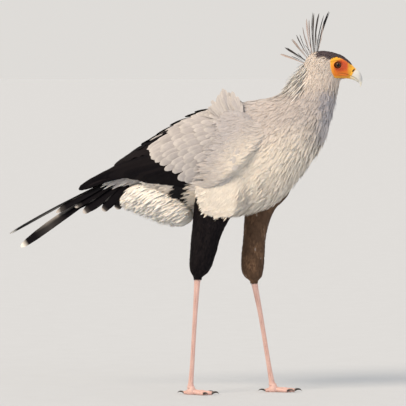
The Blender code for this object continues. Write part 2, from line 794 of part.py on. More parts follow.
def bill_arch(top, bottom, half_width, count, upper):
    """Half-round section between a top and a bottom point, flat on the side of the mouth."""
    top, bottom = Vector(top), Vector(bottom)
    flat, crown = (bottom, top) if upper else (top, bottom)
    points = []
    for i in range(count + 1):
        angle = math.pi * i / count
        points.append(flat + (crown - flat) * math.sin(angle) + Vector((0, half_width * math.cos(angle), 0)))
    return points


# The bill from its root to its tip: top point, bottom point and half width.
UPPER_BILL = (
    ((474, 0, 921), (466, 0, 893), 15.5),
    ((478.5, 0, 917), (472.5, 0, 890.7), 14),
    ((484, 0, 911), (479, 0, 888.2), 12.5),
    ((491, 0, 906), (485.5, 0, 884.8), 10.5),
    ((498, 0, 899), (490.5, 0, 881), 8.5),
    ((503, 0, 889), (494, 0, 876.5), 6.5),
    ((505, 0, 877), (496.8, 0, 870.5), 4.2),
    ((503, 0, 866), (498.5, 0, 863.5), 2.0),
    ((500.4, 0, 858.2), (499.6, 0, 858.2), 0.7),
)
LOWER_BILL = (
    ((464, 0, 892.9), (463, 0, 882), 14),
    ((472.5, 0, 890.2), (470.5, 0, 880.5), 12.5),
    ((479, 0, 887.7), (478, 0, 878.5), 10.5),
    ((485.5, 0, 884.3), (486, 0, 875), 8),
    ((490.5, 0, 880.5), (491.5, 0, 871.5), 5.5),
    ((493.8, 0, 876), (494.6, 0, 869.5), 2.5),
)


def build_bill(parts, cutters, material):
    """Both halves of the bill, the upper one with its nostrils."""
    halves = []
    for name, table, steps in (("bill_upper", UPPER_BILL, 10), ("bill_lower", LOWER_BILL, 8)):
        arches = [bill_arch(top, bottom, wide, steps, table is UPPER_BILL) for top, bottom, wide in table]
        half = keep_side(loft(arches), BILL_BASE, forward=True)
        halves.append(make_object(name, half, material, parts))
    for side in (RIGHT, LEFT):
        carve(halves[0], nostril_cutter(side), cutters)


# A toe's thickness along it, as share of its length and share of its radius, and how high its middle lies.
TOE_PROFILE = ((0.0, 1.15), (0.3, 0.84), (0.55, 0.94), (0.8, 0.8), (1.0, 0.6))
TOE_HEIGHT = 0.78


def toe_height(radius, scale):
    """Height of a toe's middle over the floor. It sinks in a little, so that the cut sole is flat."""
    return radius * TOE_HEIGHT * (scale * 0.6 + 0.4)


def toe_rings(root, direction, length, radius, sides):
    """A toe with two low knuckles, lying along the floor."""
    side = Vector((0, 0, 1)).cross(direction).normalized()
    rings = []
    for share, scale in TOE_PROFILE:
        centre = root + direction * length * share
        centre.z = toe_height(radius, scale) + (root.z - radius * TOE_HEIGHT) * (1 - share) ** 2
        rings.append(ellipse_ring(centre, side * radius * scale, Vector((0, 0, radius * scale)), sides))
    return rings


# Toes: heading in degrees from straight ahead, inwards positive; length; radius.
TOES = {"inner": (24, 44, 7.0), "middle": (0, 60, 7.5), "outer": (-26, 46, 6.8), "hind": (172, 22, 6.2)}
FOOT_YAW = {RIGHT: -6, LEFT: 8}
TOE_ROOT = (2.0, 9.0)
# Pad of the foot: height, half length and half width. It starts below the floor, where it is cut flat.
FOOT_PAD = ((-3, 13, 11), (6, 15, 13), (13, 12.5, 11), (18.7, 10.2, 8.7))
FLOOR_SIZE = (400, 300, 40)
# Claws: length by toe, thickness along them as share and share of the toe's radius, arc in degrees and rise.
CLAW_LENGTH = {"inner": 21, "middle": 20, "outer": 16, "hind": 20}
CLAW_PROFILE = ((0.0, 0.56), (0.3, 0.5), (0.65, 0.32), (1.0, 0.08))
CLAW_ARC = 58.0
CLAW_RISE = 0.21
CLAW_DROP = 0.72


def toe_frame(side, toe):
    """Root and direction of a toe."""
    shank_x, shank_y = SHANKS[side][0][:2]
    heading, _, _ = TOES[toe]
    angle = math.radians(FOOT_YAW[side] - side * heading)
    ahead, height = TOE_ROOT
    return Vector((shank_x + ahead, shank_y, height)), Vector((math.cos(angle), math.sin(angle), 0))


def build_foot(side, parts, cutters, materials):
    """One foot with a flat sole, and its four claws."""
    root, _ = toe_frame(side, "middle")
    rings = []
    for height, long, wide in FOOT_PAD:
        rings.append(ellipse_ring(Vector((root.x, root.y, height)), Vector((long, 0, 0)), Vector((0, wide, 0)), 10))
    foot = make_object("foot_" + SIDE_NAMES[side], loft(rings), materials["leg"], parts)
    toes = []
    for toe, (_, length, radius) in TOES.items():
        root, direction = toe_frame(side, toe)
        toes.append(loft(toe_rings(root, direction, length, radius, 6)))
    fuse(foot, toes)
    floor = bmesh.new()
    bmesh.ops.create_cube(floor, size=1.0)
    bmesh.ops.scale(floor, vec=FLOOR_SIZE, verts=floor.verts)
    bmesh.ops.translate(floor, vec=(root.x, root.y, -FLOOR_SIZE[2] / 2), verts=floor.verts)
    carve(foot, floor, cutters)
    for toe in TOES:
        build_claw(side, toe, parts, materials["claw"])


def build_claw(side, toe, parts, material):
    """One curved claw, a gap short of the end of its toe."""
    root, direction = toe_frame(side, toe)
    _, length, radius = TOES[toe]
    base = root + direction * (length + GAP)
    base.z = toe_height(radius, TOE_PROFILE[-1][1])
    reach = CLAW_LENGTH[toe]
    across = Vector((0, 0, 1)).cross(direction)
    rings = []
    for share, scale in CLAW_PROFILE:
        arc = math.radians(CLAW_ARC) * share
        centre = base + direction * reach * math.sin(arc) / math.sin(math.radians(CLAW_ARC))
        centre.z = base.z + CLAW_RISE * reach * math.sin(math.pi * share * 0.8) - base.z * CLAW_DROP * share**2
        tall = Vector((0, 0, math.cos(arc))) + direction * math.sin(arc)
        rings.append(ellipse_ring(centre, across * radius * scale * 0.8, tall * radius * scale, 6))
    make_object("claw_%s_%s" % (SIDE_NAMES[side], toe), loft(rings), material, parts)


def build_flesh(parts, cutters, materials):
    """Torso, neck, hindhead and head, parted from one form, each with what grows on it."""
    torso = make_object("torso", keep_side(body_form(), NECK_BASE, forward=False), materials["grey"], parts)
    fuse(torso, flank_locks())
    neck_form = keep_side(keep_side(body_form(), NECK_BASE, forward=True), HEAD_BASE, forward=False)
    neck = make_object("neck", neck_form, materials["grey"], parts)
    fuse(neck, hackles())
    hind_form = keep_side(keep_side(body_form(), HEAD_BASE, forward=True), FACE_BASE, forward=False)
    hindhead = make_object("hindhead", hind_form, materials["grey"], parts)
    fuse(hindhead, crest_feathers())
    face_form = keep_side(keep_side(body_form(), HEAD_BASE, forward=True), FACE_BASE, forward=True)
    head = make_object("head", keep_side(face_form, BILL_BASE, forward=False), materials["face"], parts)
    fuse(head, [build(side) for side in (RIGHT, LEFT) for build in (lid_ring, brow_ridge)])
    for side in (RIGHT, LEFT):
        x, y, z = EYE_CENTRE
        carve(head, gape_cutter(side), cutters)
        carve(head, ball((x, side * y, z), EYE_RADIUS + GAP), cutters)
        make_object("eye_" + SIDE_NAMES[side], ball((x, side * y, z), EYE_RADIUS), materials["eye"], parts)


def build_undertail(parts, cutters, material):
    """The loose feathers under the tail, cut clear of torso and tail."""
    fluff = make_object("undertail", fluff_core(), material, parts)
    carve(fluff, tail_space(), cutters)
    fuse(fluff, fluff_locks())
    carve(fluff, body_form(GAP), cutters)
    carve(fluff, tail_stump(GAP), cutters)


def main():
    """Build every part of the bird in one collection and centre it on the origin."""
    clear_scene()
    materials = {key: make_material(*finish) for key, finish in FINISHES.items()}
    parts = bpy.data.collections.new("secretary bird")
    cutters = bpy.data.collections.new("cutters")
    bpy.context.scene.collection.children.link(parts)
    bpy.context.scene.collection.children.link(cutters)
    build_flesh(parts, cutters, materials)
    for side in (RIGHT, LEFT):
        build_wing(side, parts, cutters, materials["grey"])
        build_thigh(side, parts, cutters, materials["black"])
        build_shank(side, parts, materials["leg"])
        build_foot(side, parts, cutters, materials)
    build_bill(parts, cutters, materials["bill"])
    build_tail(parts, cutters, materials["black"])
    build_undertail(parts, cutters, materials["white"])
    for obj in parts.objects:
        obj.data.transform(Matrix.Translation(Vector(FRAME_SHIFT) * MM))
    bpy.context.view_layer.update()


main()
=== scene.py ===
"""Looks of a life-size secretary bird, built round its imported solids.

Sizes are in millimetres and MM turns them into metres. The bird faces +X, its left side is +Y and the
soles rest on Z = 0. One skin carries the flesh. Feathers are closed thin blades in joined meshes, laid
on the body by station and angle, so that the coat follows the same form as the solids below it.
"""

import json
import logging
import math
from dataclasses import dataclass
from enum import Enum
from typing import ClassVar

import bmesh
import bpy
import numpy as np
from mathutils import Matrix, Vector

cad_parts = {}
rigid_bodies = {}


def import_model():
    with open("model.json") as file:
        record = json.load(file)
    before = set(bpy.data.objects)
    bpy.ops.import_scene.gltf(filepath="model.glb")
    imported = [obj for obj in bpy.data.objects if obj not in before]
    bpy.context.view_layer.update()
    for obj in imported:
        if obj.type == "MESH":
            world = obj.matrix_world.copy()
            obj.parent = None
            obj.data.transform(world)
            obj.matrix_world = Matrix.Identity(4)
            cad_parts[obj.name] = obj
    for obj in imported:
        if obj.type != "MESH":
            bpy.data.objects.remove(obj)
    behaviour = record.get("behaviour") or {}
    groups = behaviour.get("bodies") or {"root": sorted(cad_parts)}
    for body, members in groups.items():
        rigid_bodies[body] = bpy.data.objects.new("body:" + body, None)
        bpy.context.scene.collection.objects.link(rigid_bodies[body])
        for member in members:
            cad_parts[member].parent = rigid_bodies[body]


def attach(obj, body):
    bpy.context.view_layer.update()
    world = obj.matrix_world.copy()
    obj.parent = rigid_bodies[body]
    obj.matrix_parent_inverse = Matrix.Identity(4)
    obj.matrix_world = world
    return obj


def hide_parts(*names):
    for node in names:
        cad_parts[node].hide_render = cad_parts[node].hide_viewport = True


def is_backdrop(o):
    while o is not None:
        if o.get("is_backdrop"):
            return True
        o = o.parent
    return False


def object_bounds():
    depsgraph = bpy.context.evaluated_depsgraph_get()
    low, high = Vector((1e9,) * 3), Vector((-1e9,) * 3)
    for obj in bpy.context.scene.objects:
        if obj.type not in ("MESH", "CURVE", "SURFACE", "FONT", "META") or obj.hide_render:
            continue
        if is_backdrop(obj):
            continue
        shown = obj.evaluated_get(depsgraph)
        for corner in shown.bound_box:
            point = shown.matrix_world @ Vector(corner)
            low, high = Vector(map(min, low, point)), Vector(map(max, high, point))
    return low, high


Array, Random, Piece = np.ndarray, np.random.Generator, bpy.types.Object
LOG = logging.getLogger("secretary_bird")
MM = 0.001
ROOT_BODY = "root"
BAKE_MAP = "OFBake"
TUFT_PATCH = 0.003
FRAME_SHIFT = np.array((-3.0, 0.0, 0.0))


class Side(Enum):
    """The two sides of the bird, as the sign of Y."""

    RIGHT = -1
    LEFT = 1

    @property
    def word(self) -> str:
        """The side as a word for piece names."""
        return self.name.lower()


class Mark(Enum):
    """Colour patterns that one long feather can carry along its length."""

    PLAIN = "plain"
    PALE_EDGE = "pale edge"
    BANDED = "banded"
    GREY_TIP = "grey tip"


def linear(code: str) -> Array:
    """Turn an sRGB hex code into linear RGB.

    Args:
        code: Six hex digits after a hash sign.

    Returns:
        Three linear values.
    """
    values = np.array([int(code[i : i + 2], 16) / 255 for i in (1, 3, 5)])
    return np.where(values <= 0.04045, values / 12.92, ((values + 0.055) / 1.055) ** 2.4)


GREY = linear("#B1ACAC")
PALE_GREY = linear("#C8C2BD")
BACK_GREY = linear("#BCB3AE")
COVERT_GREY = linear("#A39E9E")
COVERT_EDGE = linear("#C8C3BE")
CREAM = linear("#E4D9CB")
WHITE = linear("#F0EBE3")
BLACK = linear("#0F0D11")
SOOT = linear("#231E1F")
CROWN = linear("#4C4246")
PINK_GREY = linear("#CFBDB4")
UMBER = linear("#7A5F4A")
ORANGE = linear("#EC7E14")
RED_ORANGE = linear("#C94A0A")
YELLOW = linear("#F2B024")
LEG_PINK = linear("#DDB9B0")
LEG_DARK = linear("#C9A097")


def smooth_step(values: Array) -> Array:
    """Ease values from 0 to 1 between 0 and 1."""
    held = np.clip(values, 0.0, 1.0)
    return held * held * (3 - 2 * held)


def ramp(values: Array, start: float | Array, over: float) -> Array:
    """Ease from 0 to 1 from a start on, over a distance, which is negative where the values fall."""
    return smooth_step((values - start) / over)


def bell(values: Array, middle: float, width: float) -> Array:
    """A soft hump of height 1 over a middle value."""
    return np.exp(-(((values - middle) / width) ** 2))


def rows_of(*rows: tuple[float, ...]) -> Array:
    """A table from its rows."""
    return np.array(rows, float)


def blend(first: Array, second: Array, share: Array) -> Array:
    """Mix two colours, or arrays of them, by a share for each place."""
    share = np.asarray(share)[..., None]
    return first * (1 - share) + second * share


def unit(vectors: Array) -> Array:
    """Give vectors the length one."""
    return vectors / np.maximum(np.linalg.norm(vectors, axis=-1, keepdims=True), 1e-9)


def follow_rows(table: Array, place: Array) -> Array:
    """Read a table at fractional rows, on a smooth curve through its rows.

    Args:
        table: One row for each station.
        place: Fractional row numbers, of any shape.

    Returns:
        The rows there, with the shape of place and one more axis.
    """
    place = np.asarray(place, float)
    last = len(table) - 1
    index = np.clip(np.floor(place).astype(int), 0, last - 1)
    t = np.clip(place - index, 0.0, 1.0)[..., None]
    before, first = table[np.maximum(index - 1, 0)], table[index]
    second, after = table[index + 1], table[np.minimum(index + 2, last)]
    return 0.5 * (
        2 * first
        + (second - before) * t
        + (2 * before - 5 * first + 4 * second - after) * t**2
        + (3 * first - before - 3 * second + after) * t**3
    )


def quadratic(start: Array, bend: Array, end: Array, shares: Array) -> Array:
    """Follow quadratic curves from many starts to many ends.

    Args:
        start: First points, N by 3.
        bend: Points that draw the curves, N by 3.
        end: Last points, N by 3.
        shares: How far along each curve, S values.

    Returns:
        Points, N by S by 3.
    """
    t = np.asarray(shares)[None, :, None]
    return start[:, None] * (1 - t) ** 2 + bend[:, None] * 2 * t * (1 - t) + end[:, None] * t**2


# The outer form, from the tips of the folded wings forward to the root of the bill: back x, back z,
# belly x, belly z and half width at each station.
STATIONS = rows_of(
    (-306, 575, -302, 556, 18), (-223, 615, -218, 588, 32), (-152, 658, -146, 585, 44),
    (-95, 692, -90, 566, 56), (-24, 738, -24, 546, 69), (47, 774, 47, 524, 80), (118, 799, 124, 510, 87),
    (175, 814, 200, 522, 89), (215, 821, 274, 558, 87), (243, 826, 334, 628, 80), (263, 832, 380, 692, 70),
    (288, 843, 409, 750, 59), (308, 863, 423, 801, 50), (325, 886, 430, 837, 44), (338, 908, 436, 865, 39),
    (347, 933, 441, 876, 36), (363, 951, 445, 879, 35), (391, 958, 448, 881, 34), (419, 954.5, 452, 881, 32),
    (445, 946, 458, 881, 28), (465, 932, 465, 881, 22), (477, 918, 472, 881, 15))
RUMP_STATION = 3.0
RUMP_ROUNDING = 0.6
HEAD_STATION = 14.5
LAST_STATION = len(STATIONS) - 1.0


def form_points(place: Array, degrees: Array, lift: Array = 0.0) -> Array:
    """Find points of the outer form.

    Args:
        place: Stations, of any shape.
        degrees: Angles from 0 at the back to 180 at the belly, positive on the left.
        lift: Height above the form.

    Returns:
        Points with one more axis than place.
    """
    place, degrees, lift = np.broadcast_arrays(*(np.asarray(v, float) for v in (place, degrees, lift)))
    rows = follow_rows(STATIONS, place)
    back, belly, half_width = rows[..., 0:2], rows[..., 2:4], rows[..., 4]
    centre, up = (back + belly) / 2, (back - belly) / 2
    up_size = np.linalg.norm(up, axis=-1)
    cosine, sine = np.cos(np.radians(degrees)), np.sin(np.radians(degrees))
    away = np.stack((up[..., 0] / up_size * cosine / up_size, sine / half_width,
                     up[..., 1] / up_size * cosine / up_size), axis=-1)
    base = np.stack((centre[..., 0] + up[..., 0] * cosine, half_width * sine,
                     centre[..., 1] + up[..., 1] * cosine), axis=-1)
    return base + unit(away) * lift[..., None]


def form_normals(place: Array, degrees: Array) -> Array:
    """Outward directions of the form at stations and angles."""
    return form_points(place, degrees, 1.0) - form_points(place, degrees)


def form_girth(place: Array) -> Array:
    """Length round the form at stations."""
    rows = follow_rows(STATIONS, place)
    half_height = np.linalg.norm(rows[..., 0:2] - rows[..., 2:4], axis=-1) / 2
    half_width = rows[..., 4]
    return math.pi * np.sqrt(2 * (half_height**2 + half_width**2)) * 0.98


def form_map(place: Array, degrees: Array) -> Array:
    """Place on the flat map of the skin: station along U and angle along V."""
    turn = (np.asarray(degrees) + 180) % 360 / 360
    return np.stack((0.01 + 0.98 * np.asarray(place) / LAST_STATION, 0.01 + 0.98 * turn), axis=-1)


# Edges of the bare face in the side view: its rear edge as height and x, the brow and the chin as x and z.
FACE_REAR = rows_of((878, 438), (886, 429), (900, 423), (915, 420), (930, 419), (943, 424))
FACE_BROW = rows_of((412, 936), (425, 940), (437, 942), (450, 937), (462, 930), (474, 920))
FACE_CHIN = rows_of((420, 887), (432, 884), (450, 882.5), (478, 881.0))
FACE_EDGE_BLEND = 3.0
EYE_CENTRE = np.array((440.0, 23.0, 919.0))
EYE_RADIUS = 11.0


def bare_face(points: Array) -> Array:
    """Share of bare face skin at points, 0 under feathers and 1 inside the mask."""
    x, z = points[..., 0], points[..., 2]
    inside = np.minimum(
        x - np.interp(z, FACE_REAR[:, 0], FACE_REAR[:, 1]),
        np.interp(x, FACE_BROW[:, 0], FACE_BROW[:, 1]) - z,
    )
    inside = np.minimum(inside, z - np.interp(x, FACE_CHIN[:, 0], FACE_CHIN[:, 1]) + 1)
    return smooth_step(inside / FACE_EDGE_BLEND + 0.5)


def face_colour(points: Array) -> Array:
    """Colours of the bare face: orange, redder before the eye, yellow round it and at the mouth."""
    x, z = points[..., 0], points[..., 2]
    from_eye_x, from_eye_z = x - EYE_CENTRE[0], z - EYE_CENTRE[2]
    near_eye = ramp(np.hypot(from_eye_x - 7, from_eye_z * 1.4 + 3), 30, -16)
    colour = blend(ORANGE, YELLOW, 0.65 * ramp(-from_eye_x, 6, 12))
    colour = blend(colour, RED_ORANGE, near_eye * ramp(from_eye_x, -14, 12))
    colour = blend(colour, YELLOW, ramp(from_eye_z + from_eye_x * -0.55, 9, 8))
    colour = blend(colour, YELLOW, ramp(x, 464, 8))
    colour = blend(colour, YELLOW, 0.8 * ramp(z, 891, -5))
    return colour


# Middle of the painted shade in the gap between the feathers behind the ear, in the side view.
GAP_SHADE_PLACE = (349.0, 918.0)


def plumage_colour(points: Array) -> Array:
    """Colours of the small body feathers at points, the same on skin and coat.

    Args:
        points: Places of the body before the frame shift.

    Returns:
        Linear colours.
    """
    x, y, z = points[..., 0], points[..., 1], points[..., 2]
    colour = blend(GREY, BACK_GREY, ramp(x, 165, 110))
    # Belly and breast turn cream, higher up towards the front.
    cream_height = np.interp(x, (-120, 20, 120, 220, 300, 400), (560, 600, 650, 720, 745, 760))
    colour = blend(colour, CREAM, smooth_step((cream_height - z) / 110 + 0.5))
    # Cheeks and throat are cream grey, and the crown between brow and crest is dark.
    head = ramp(z, 845, 40)
    colour = blend(colour, linear("#D3C6BB"), head * 0.85)
    # Painted shade: the front of the neck, turned from the key light, is painted a cooler grey.
    front = ramp(x, 390, 16) * ramp(z, 730, 45) * ramp(z, 870, -18)
    colour = blend(colour, linear("#A6A6B0"), 0.55 * front)
    brow = np.interp(x, FACE_BROW[:, 0], FACE_BROW[:, 1])
    crown_edge = np.maximum(brow - 6, np.interp(x, (385, 410, 432), (942, 939, 905)))
    crown = ramp(x, 383, 7) * ramp(z, crown_edge, 4)
    colour = blend(colour, CROWN, crown)
    rump = ramp(x, -35, -40) * ramp(z, 640, -30)
    colour = blend(colour, WHITE, rump)
    # Painted shade: the gap between the feathers behind the ear is painted dark.
    from_gap_shade = np.hypot((x - GAP_SHADE_PLACE[0]) / 1.7, z - GAP_SHADE_PLACE[1])
    colour = blend(colour, SOOT, 0.9 * ramp(from_gap_shade, 5.5, -3))
    # The near thigh shows black up to the wing.
    seat = ramp(x, 12, 10) * ramp(x, 64, -10) * ramp(z, 602, -10)
    return blend(colour, BLACK, seat * ramp(y, -20, -10))


@dataclass(frozen=True)
class BladeShape:
    """Outline of one kind of feather.

    Attributes:
        shares: How far along the feather each section lies.
        widths: Width of each section as a share of the half width.
        arch: Rise of the middle over the edges, as a share of the half width.
        thickness: Thickness of the vane, in millimetres.
        fine: True for a vane of eight points a section with a raised shaft, else three.
        ragged: How far the edge of a fine vane comes and goes, as a share of its width.
    """

    shares: tuple[float, ...]
    widths: tuple[float, ...]
    arch: float = 0.22
    thickness: float = 0.5
    fine: bool = False
    ragged: float = 0.0

    def section(self) -> tuple[Array, Array]:
        """Places across the section, from -1 to 1, and which way each is pushed by half the thickness."""
        if not self.fine:
            return np.array((-1.0, 0.0, 1.0)), np.array((0.0, 1.0, 0.0))
        across = np.array((-1.0, -0.5, 0.0, 0.5, 1.0, 0.5, 0.0, -0.5))
        push = np.array((0.0, 1.0, 1.9, 1.0, 0.0, -1.0, -1.2, -1.0)) / 2
        return across, push


TUFT = BladeShape((0.0, 0.3, 0.62, 0.86, 1.0), (0.5, 0.95, 1.0, 0.68, 0.14), 0.08, 0.3)
SMALL_TUFT = BladeShape((0.0, 0.5, 0.8, 1.0), (0.6, 1.0, 0.72, 0.16), 0.1, 0.25)
LONG_TUFT = BladeShape((0.0, 0.2, 0.45, 0.7, 0.88, 1.0), (0.4, 0.9, 1.0, 0.8, 0.5, 0.08), 0.12, 0.35)
COVERT = BladeShape(
    (0.0, 0.2, 0.45, 0.65, 0.8, 0.9, 0.96, 1.0), (0.25, 0.65, 0.95, 1.0, 0.96, 0.8, 0.58, 0.2),
    0.12, 0.8, True, 0.07,
)
FLIGHT = BladeShape(
    (0.0, 0.15, 0.3, 0.45, 0.6, 0.75, 0.87, 0.94, 0.98, 1.0),
    (0.2, 0.55, 0.85, 0.95, 1.0, 0.97, 0.88, 0.72, 0.5, 0.18), 0.1, 0.9, True, 0.04,
)
PLUME = BladeShape(
    (0.0, 0.15, 0.3, 0.45, 0.6, 0.72, 0.83, 0.92, 1.0), (0.3, 0.32, 0.42, 0.6, 0.85, 1.0, 0.9, 0.6, 0.12),
    0.2, 0.8, True, 0.12,
)


# Half width below which a feather gets thinner too, and how much thicker a plain three-point vane is made.
THIN_BELOW = 2.0
PLAIN_THICKENING = 1.2
# How far the tint of single feathers differs.
TINT_SPREAD = 0.05


class BladeBatch:
    """Feathers gathered for one piece, which end as one mesh of closed blades."""

    def __init__(self, name: str) -> None:
        """Start an empty batch.

        Args:
            name: Name of the piece.
        """
        self.name = name
        self.faces: list[Array] = []
        # Points, normals, tints, places on the vane and on the map, for each call of add.
        self.layers: list[tuple[Array, ...]] = []
        self.total = 0

    def add(self, shape: BladeShape, line: Array, facing: Array, half_width: Array,
            tint: Array, root_map: Array, random: Random,
            patch: float = TUFT_PATCH, marks: Mark = Mark.PLAIN) -> None:
        """Add feathers of one shape.

        Args:
            shape: Outline of the feathers.
            line: Centre lines, N by S by 3, before the frame shift.
            facing: Directions that the upper faces look to, N by S by 3.
            half_width: Half widths, N values.
            tint: Colours, N by 3 or N by S by 3.
            root_map: Place of each root on the skin's flat map, N by 2.
            random: Source of the small differences between feathers.
            patch: Size of one feather on the map.
            marks: Pattern along the feathers.
        """
        number, steps = line.shape[:2]
        across_shares, push = shape.section()
        columns = len(across_shares)
        tangent = unit(np.gradient(line, axis=1))
        normal = unit(facing - tangent * np.sum(facing * tangent, axis=-1, keepdims=True))
        sideways = np.cross(tangent, normal)
        widths = half_width[:, None] * np.asarray(shape.widths)[None]
        spread = widths[..., None] * across_shares
        if shape.ragged:
            edge = np.abs(across_shares) == 1
            spread = spread * (1 - edge * shape.ragged * random.random((number, steps, columns)) * 2)
        # Narrow feathers are thinner, so that they stay flat.
        thickness = shape.thickness * np.minimum(1.0, widths / THIN_BELOW)
        if not shape.fine:
            thickness = thickness * PLAIN_THICKENING
        height = widths[..., None] * shape.arch * (1 - across_shares**2) + thickness[..., None] * push
        points = line[:, :, None] + sideways[:, :, None] * spread[..., None]
        points = points + normal[:, :, None] * height[..., None]
        # Shading follows the lie of the coat and a slight roll over each vane, not the blade's edges.
        roll = unit(normal[:, :, None] + sideways[:, :, None] * (2 * shape.arch * across_shares)[:, None])
        roll = np.broadcast_to(roll * np.where(push < 0, -1.0, 1.0)[:, None], points.shape)
        size = (number, steps, columns)
        along = np.broadcast_to(np.asarray(shape.shares)[None, :, None], size)
        across = np.broadcast_to(across_shares, size)
        tint = np.asarray(tint)
        tint = tint[:, None] if tint.ndim == 2 else tint
        colours = feather_marks(marks, np.broadcast_to(tint[:, :, None], (*size, 3)), across, along)
        colours = colours * (1 + TINT_SPREAD * random.standard_normal((number, 1, 1, 1)))
        length = np.linalg.norm(np.diff(line, axis=1), axis=-1).sum(axis=1)
        vane = np.stack((spread, along * length[:, None, None],
                         np.broadcast_to(random.random((number, 1, 1)), along.shape)), axis=-1)
        within = np.stack((across, along), axis=-1) * (0.5, 1.0) - (0.0, 0.5)
        place = root_map[:, None, None] + patch * within
        index = self.total + np.arange(number * steps * columns).reshape(size)
        after = np.roll(index, -1, axis=2)
        quads = np.stack((index[:, :-1], after[:, :-1], after[:, 1:], index[:, 1:]), axis=-1).reshape(-1, 4)
        self.faces += [quads, index[:, 0][:, ::-1], index[:, -1]]
        layers = points, roll, np.clip(colours, 0, 1), vane, np.clip(place, 0.001, 0.999)
        self.layers.append(tuple(layer.reshape(-1, layer.shape[-1]) for layer in layers))
        self.total += index.size

    def build(self, finish: "Finish") -> Piece:
        """Make the piece.

        Args:
            finish: What the feathers are made of.

        Returns:
            The finished object, at the origin.
        """
        points, normals, tints, vanes, places = (np.concatenate(layer) for layer in zip(*self.layers))
        obj = mesh_object(self.name, points, self.faces, finish.material())
        paint(obj, tints)
        store(obj.data, "Vane", vanes)
        obj.data.normals_split_custom_set_from_vertices(normals)
        lay_map(obj.data, places)
        return obj


def feather_marks(marks: Mark, colours: Array, across: Array, along: Array) -> Array:
    """Lay a pattern over feathers.

    Args:
        marks: Which pattern.
        colours: Ground colours, with one more axis than across.
        across: Place across the vane, from -1 to 1.
        along: Place along the vane, from 0 to 1.

    Returns:
        The colours with the pattern.
    """
    if marks is Mark.PALE_EDGE:
        edge = ramp(np.abs(across), 0.5, 0.5) * 0.6 * ramp(along, 0.3, 0.4)
        edge = np.maximum(edge, 0.8 * ramp(along, 0.86, 0.12))
        return blend(colours, COVERT_EDGE, edge)
    if marks is Mark.BANDED:
        upper_edge = ramp(across, 0.35, 0.3) * 0.9 * ramp(along, 0.8, -0.1)
        grey = 0.85 * ramp(along, 0.74, 0.06) * ramp(along, 0.86, -0.03)
        colours = blend(colours, PALE_GREY, np.maximum(upper_edge, grey * ramp(across, 0.5, -0.4)))
        return blend(colours, WHITE, ramp(along, 0.945, 0.02))
    if marks is Mark.GREY_TIP:
        upper_edge = ramp(across, 0.55, 0.25) * 0.5 * ramp(along, 0.85, -0.1)
        return blend(colours, PALE_GREY, np.maximum(0.85 * ramp(along, 0.93, 0.05), upper_edge))
    return colours


def mesh_object(name: str, points: Array, faces: list[Array],
                material: bpy.types.Material) -> Piece:
    """Make an object from arrays of points and faces.

    Args:
        name: Name of the piece.
        points: Points in millimetres, before the frame shift.
        faces: Arrays of faces, each with its own number of corners.
        material: What it is made of.

    Returns:
        The linked object, at the origin.
    """
    mesh = bpy.data.meshes.new(name)
    mesh.vertices.add(len(points))
    mesh.vertices.foreach_set("co", ((points + FRAME_SHIFT) * MM).astype(np.float32).ravel())
    corners = np.concatenate([np.ascontiguousarray(block).ravel() for block in faces]).astype(np.int32)
    sizes = np.concatenate([np.full(len(block), block.shape[1]) for block in faces])
    mesh.loops.add(len(corners))
    mesh.loops.foreach_set("vertex_index", corners)
    mesh.polygons.add(len(sizes))
    mesh.polygons.foreach_set("loop_start", np.concatenate(((0,), np.cumsum(sizes)[:-1])).astype(np.int32))
    mesh.update(calc_edges=True)
    mesh.polygons.foreach_set("use_smooth", np.full(len(sizes), True))
    mesh.materials.append(material)
    obj = bpy.data.objects.new(name, mesh)
    bpy.context.scene.collection.objects.link(obj)
    return obj


def loft_arrays(rings: Array) -> tuple[Array, list[Array]]:
    """Close rings of equal length into one tube with capped ends.

    Args:
        rings: R by K by 3, turning the same way.

    Returns:
        The points and the faces.
    """
    rows, count = rings.shape[:2]
    index = np.arange(rows * count).reshape(rows, count)
    after = np.roll(index, -1, axis=1)
    quads = np.stack((index[:-1], after[:-1], after[1:], index[1:]), axis=-1).reshape(-1, 4)
    centres = rings[[0, -1]].mean(axis=1)
    first_pole, last_pole = rows * count, rows * count + 1
    first_fan = np.stack((index[0], np.full(count, first_pole), after[0]), axis=-1)
    last_fan = np.stack((index[-1], after[-1], np.full(count, last_pole)), axis=-1)
    return np.concatenate((rings.reshape(-1, 3), centres)), [quads, first_fan, last_fan]


def ellipse_rings(centres: Array, half_u: Array, half_v: Array, count: int) -> Array:
    """Ellipses round centres, with their two half axes given as vectors."""
    turn = np.linspace(0, 2 * math.pi, count, endpoint=False)[None, :, None]
    return centres[:, None] + half_u[:, None] * np.cos(turn) + half_v[:, None] * np.sin(turn)


def even_rows(table: Array, count: int) -> Array:
    """Rows of a table at even steps from its first row to its last."""
    return follow_rows(table, np.linspace(0, len(table) - 1, count))


def set_outwards(obj: Piece) -> Piece:
    """Turn the faces of a closed mesh outwards."""
    bm = bmesh.new()
    bm.from_mesh(obj.data)
    bmesh.ops.recalc_face_normals(bm, faces=bm.faces)
    bm.to_mesh(obj.data)
    bm.free()
    return obj


def add_node(tree: bpy.types.NodeTree, kind: str, settings: dict | None = None,
             links: dict | None = None) -> bpy.types.Node:
    """Add a node with its settings and links.

    Args:
        tree: Where the node goes.
        kind: Its type name.
        settings: Values by attribute name, or by socket name or number.
        links: Output sockets by the name or number of the input that takes them.

    Returns:
        The node.
    """
    node = tree.nodes.new(kind)
    for name, value in (settings or {}).items():
        if isinstance(name, str) and hasattr(node, name):
            setattr(node, name, value)
        else:
            node.inputs[name].default_value = value
    for name, output in (links or {}).items():
        tree.links.new(output, node.inputs[name])
    return node


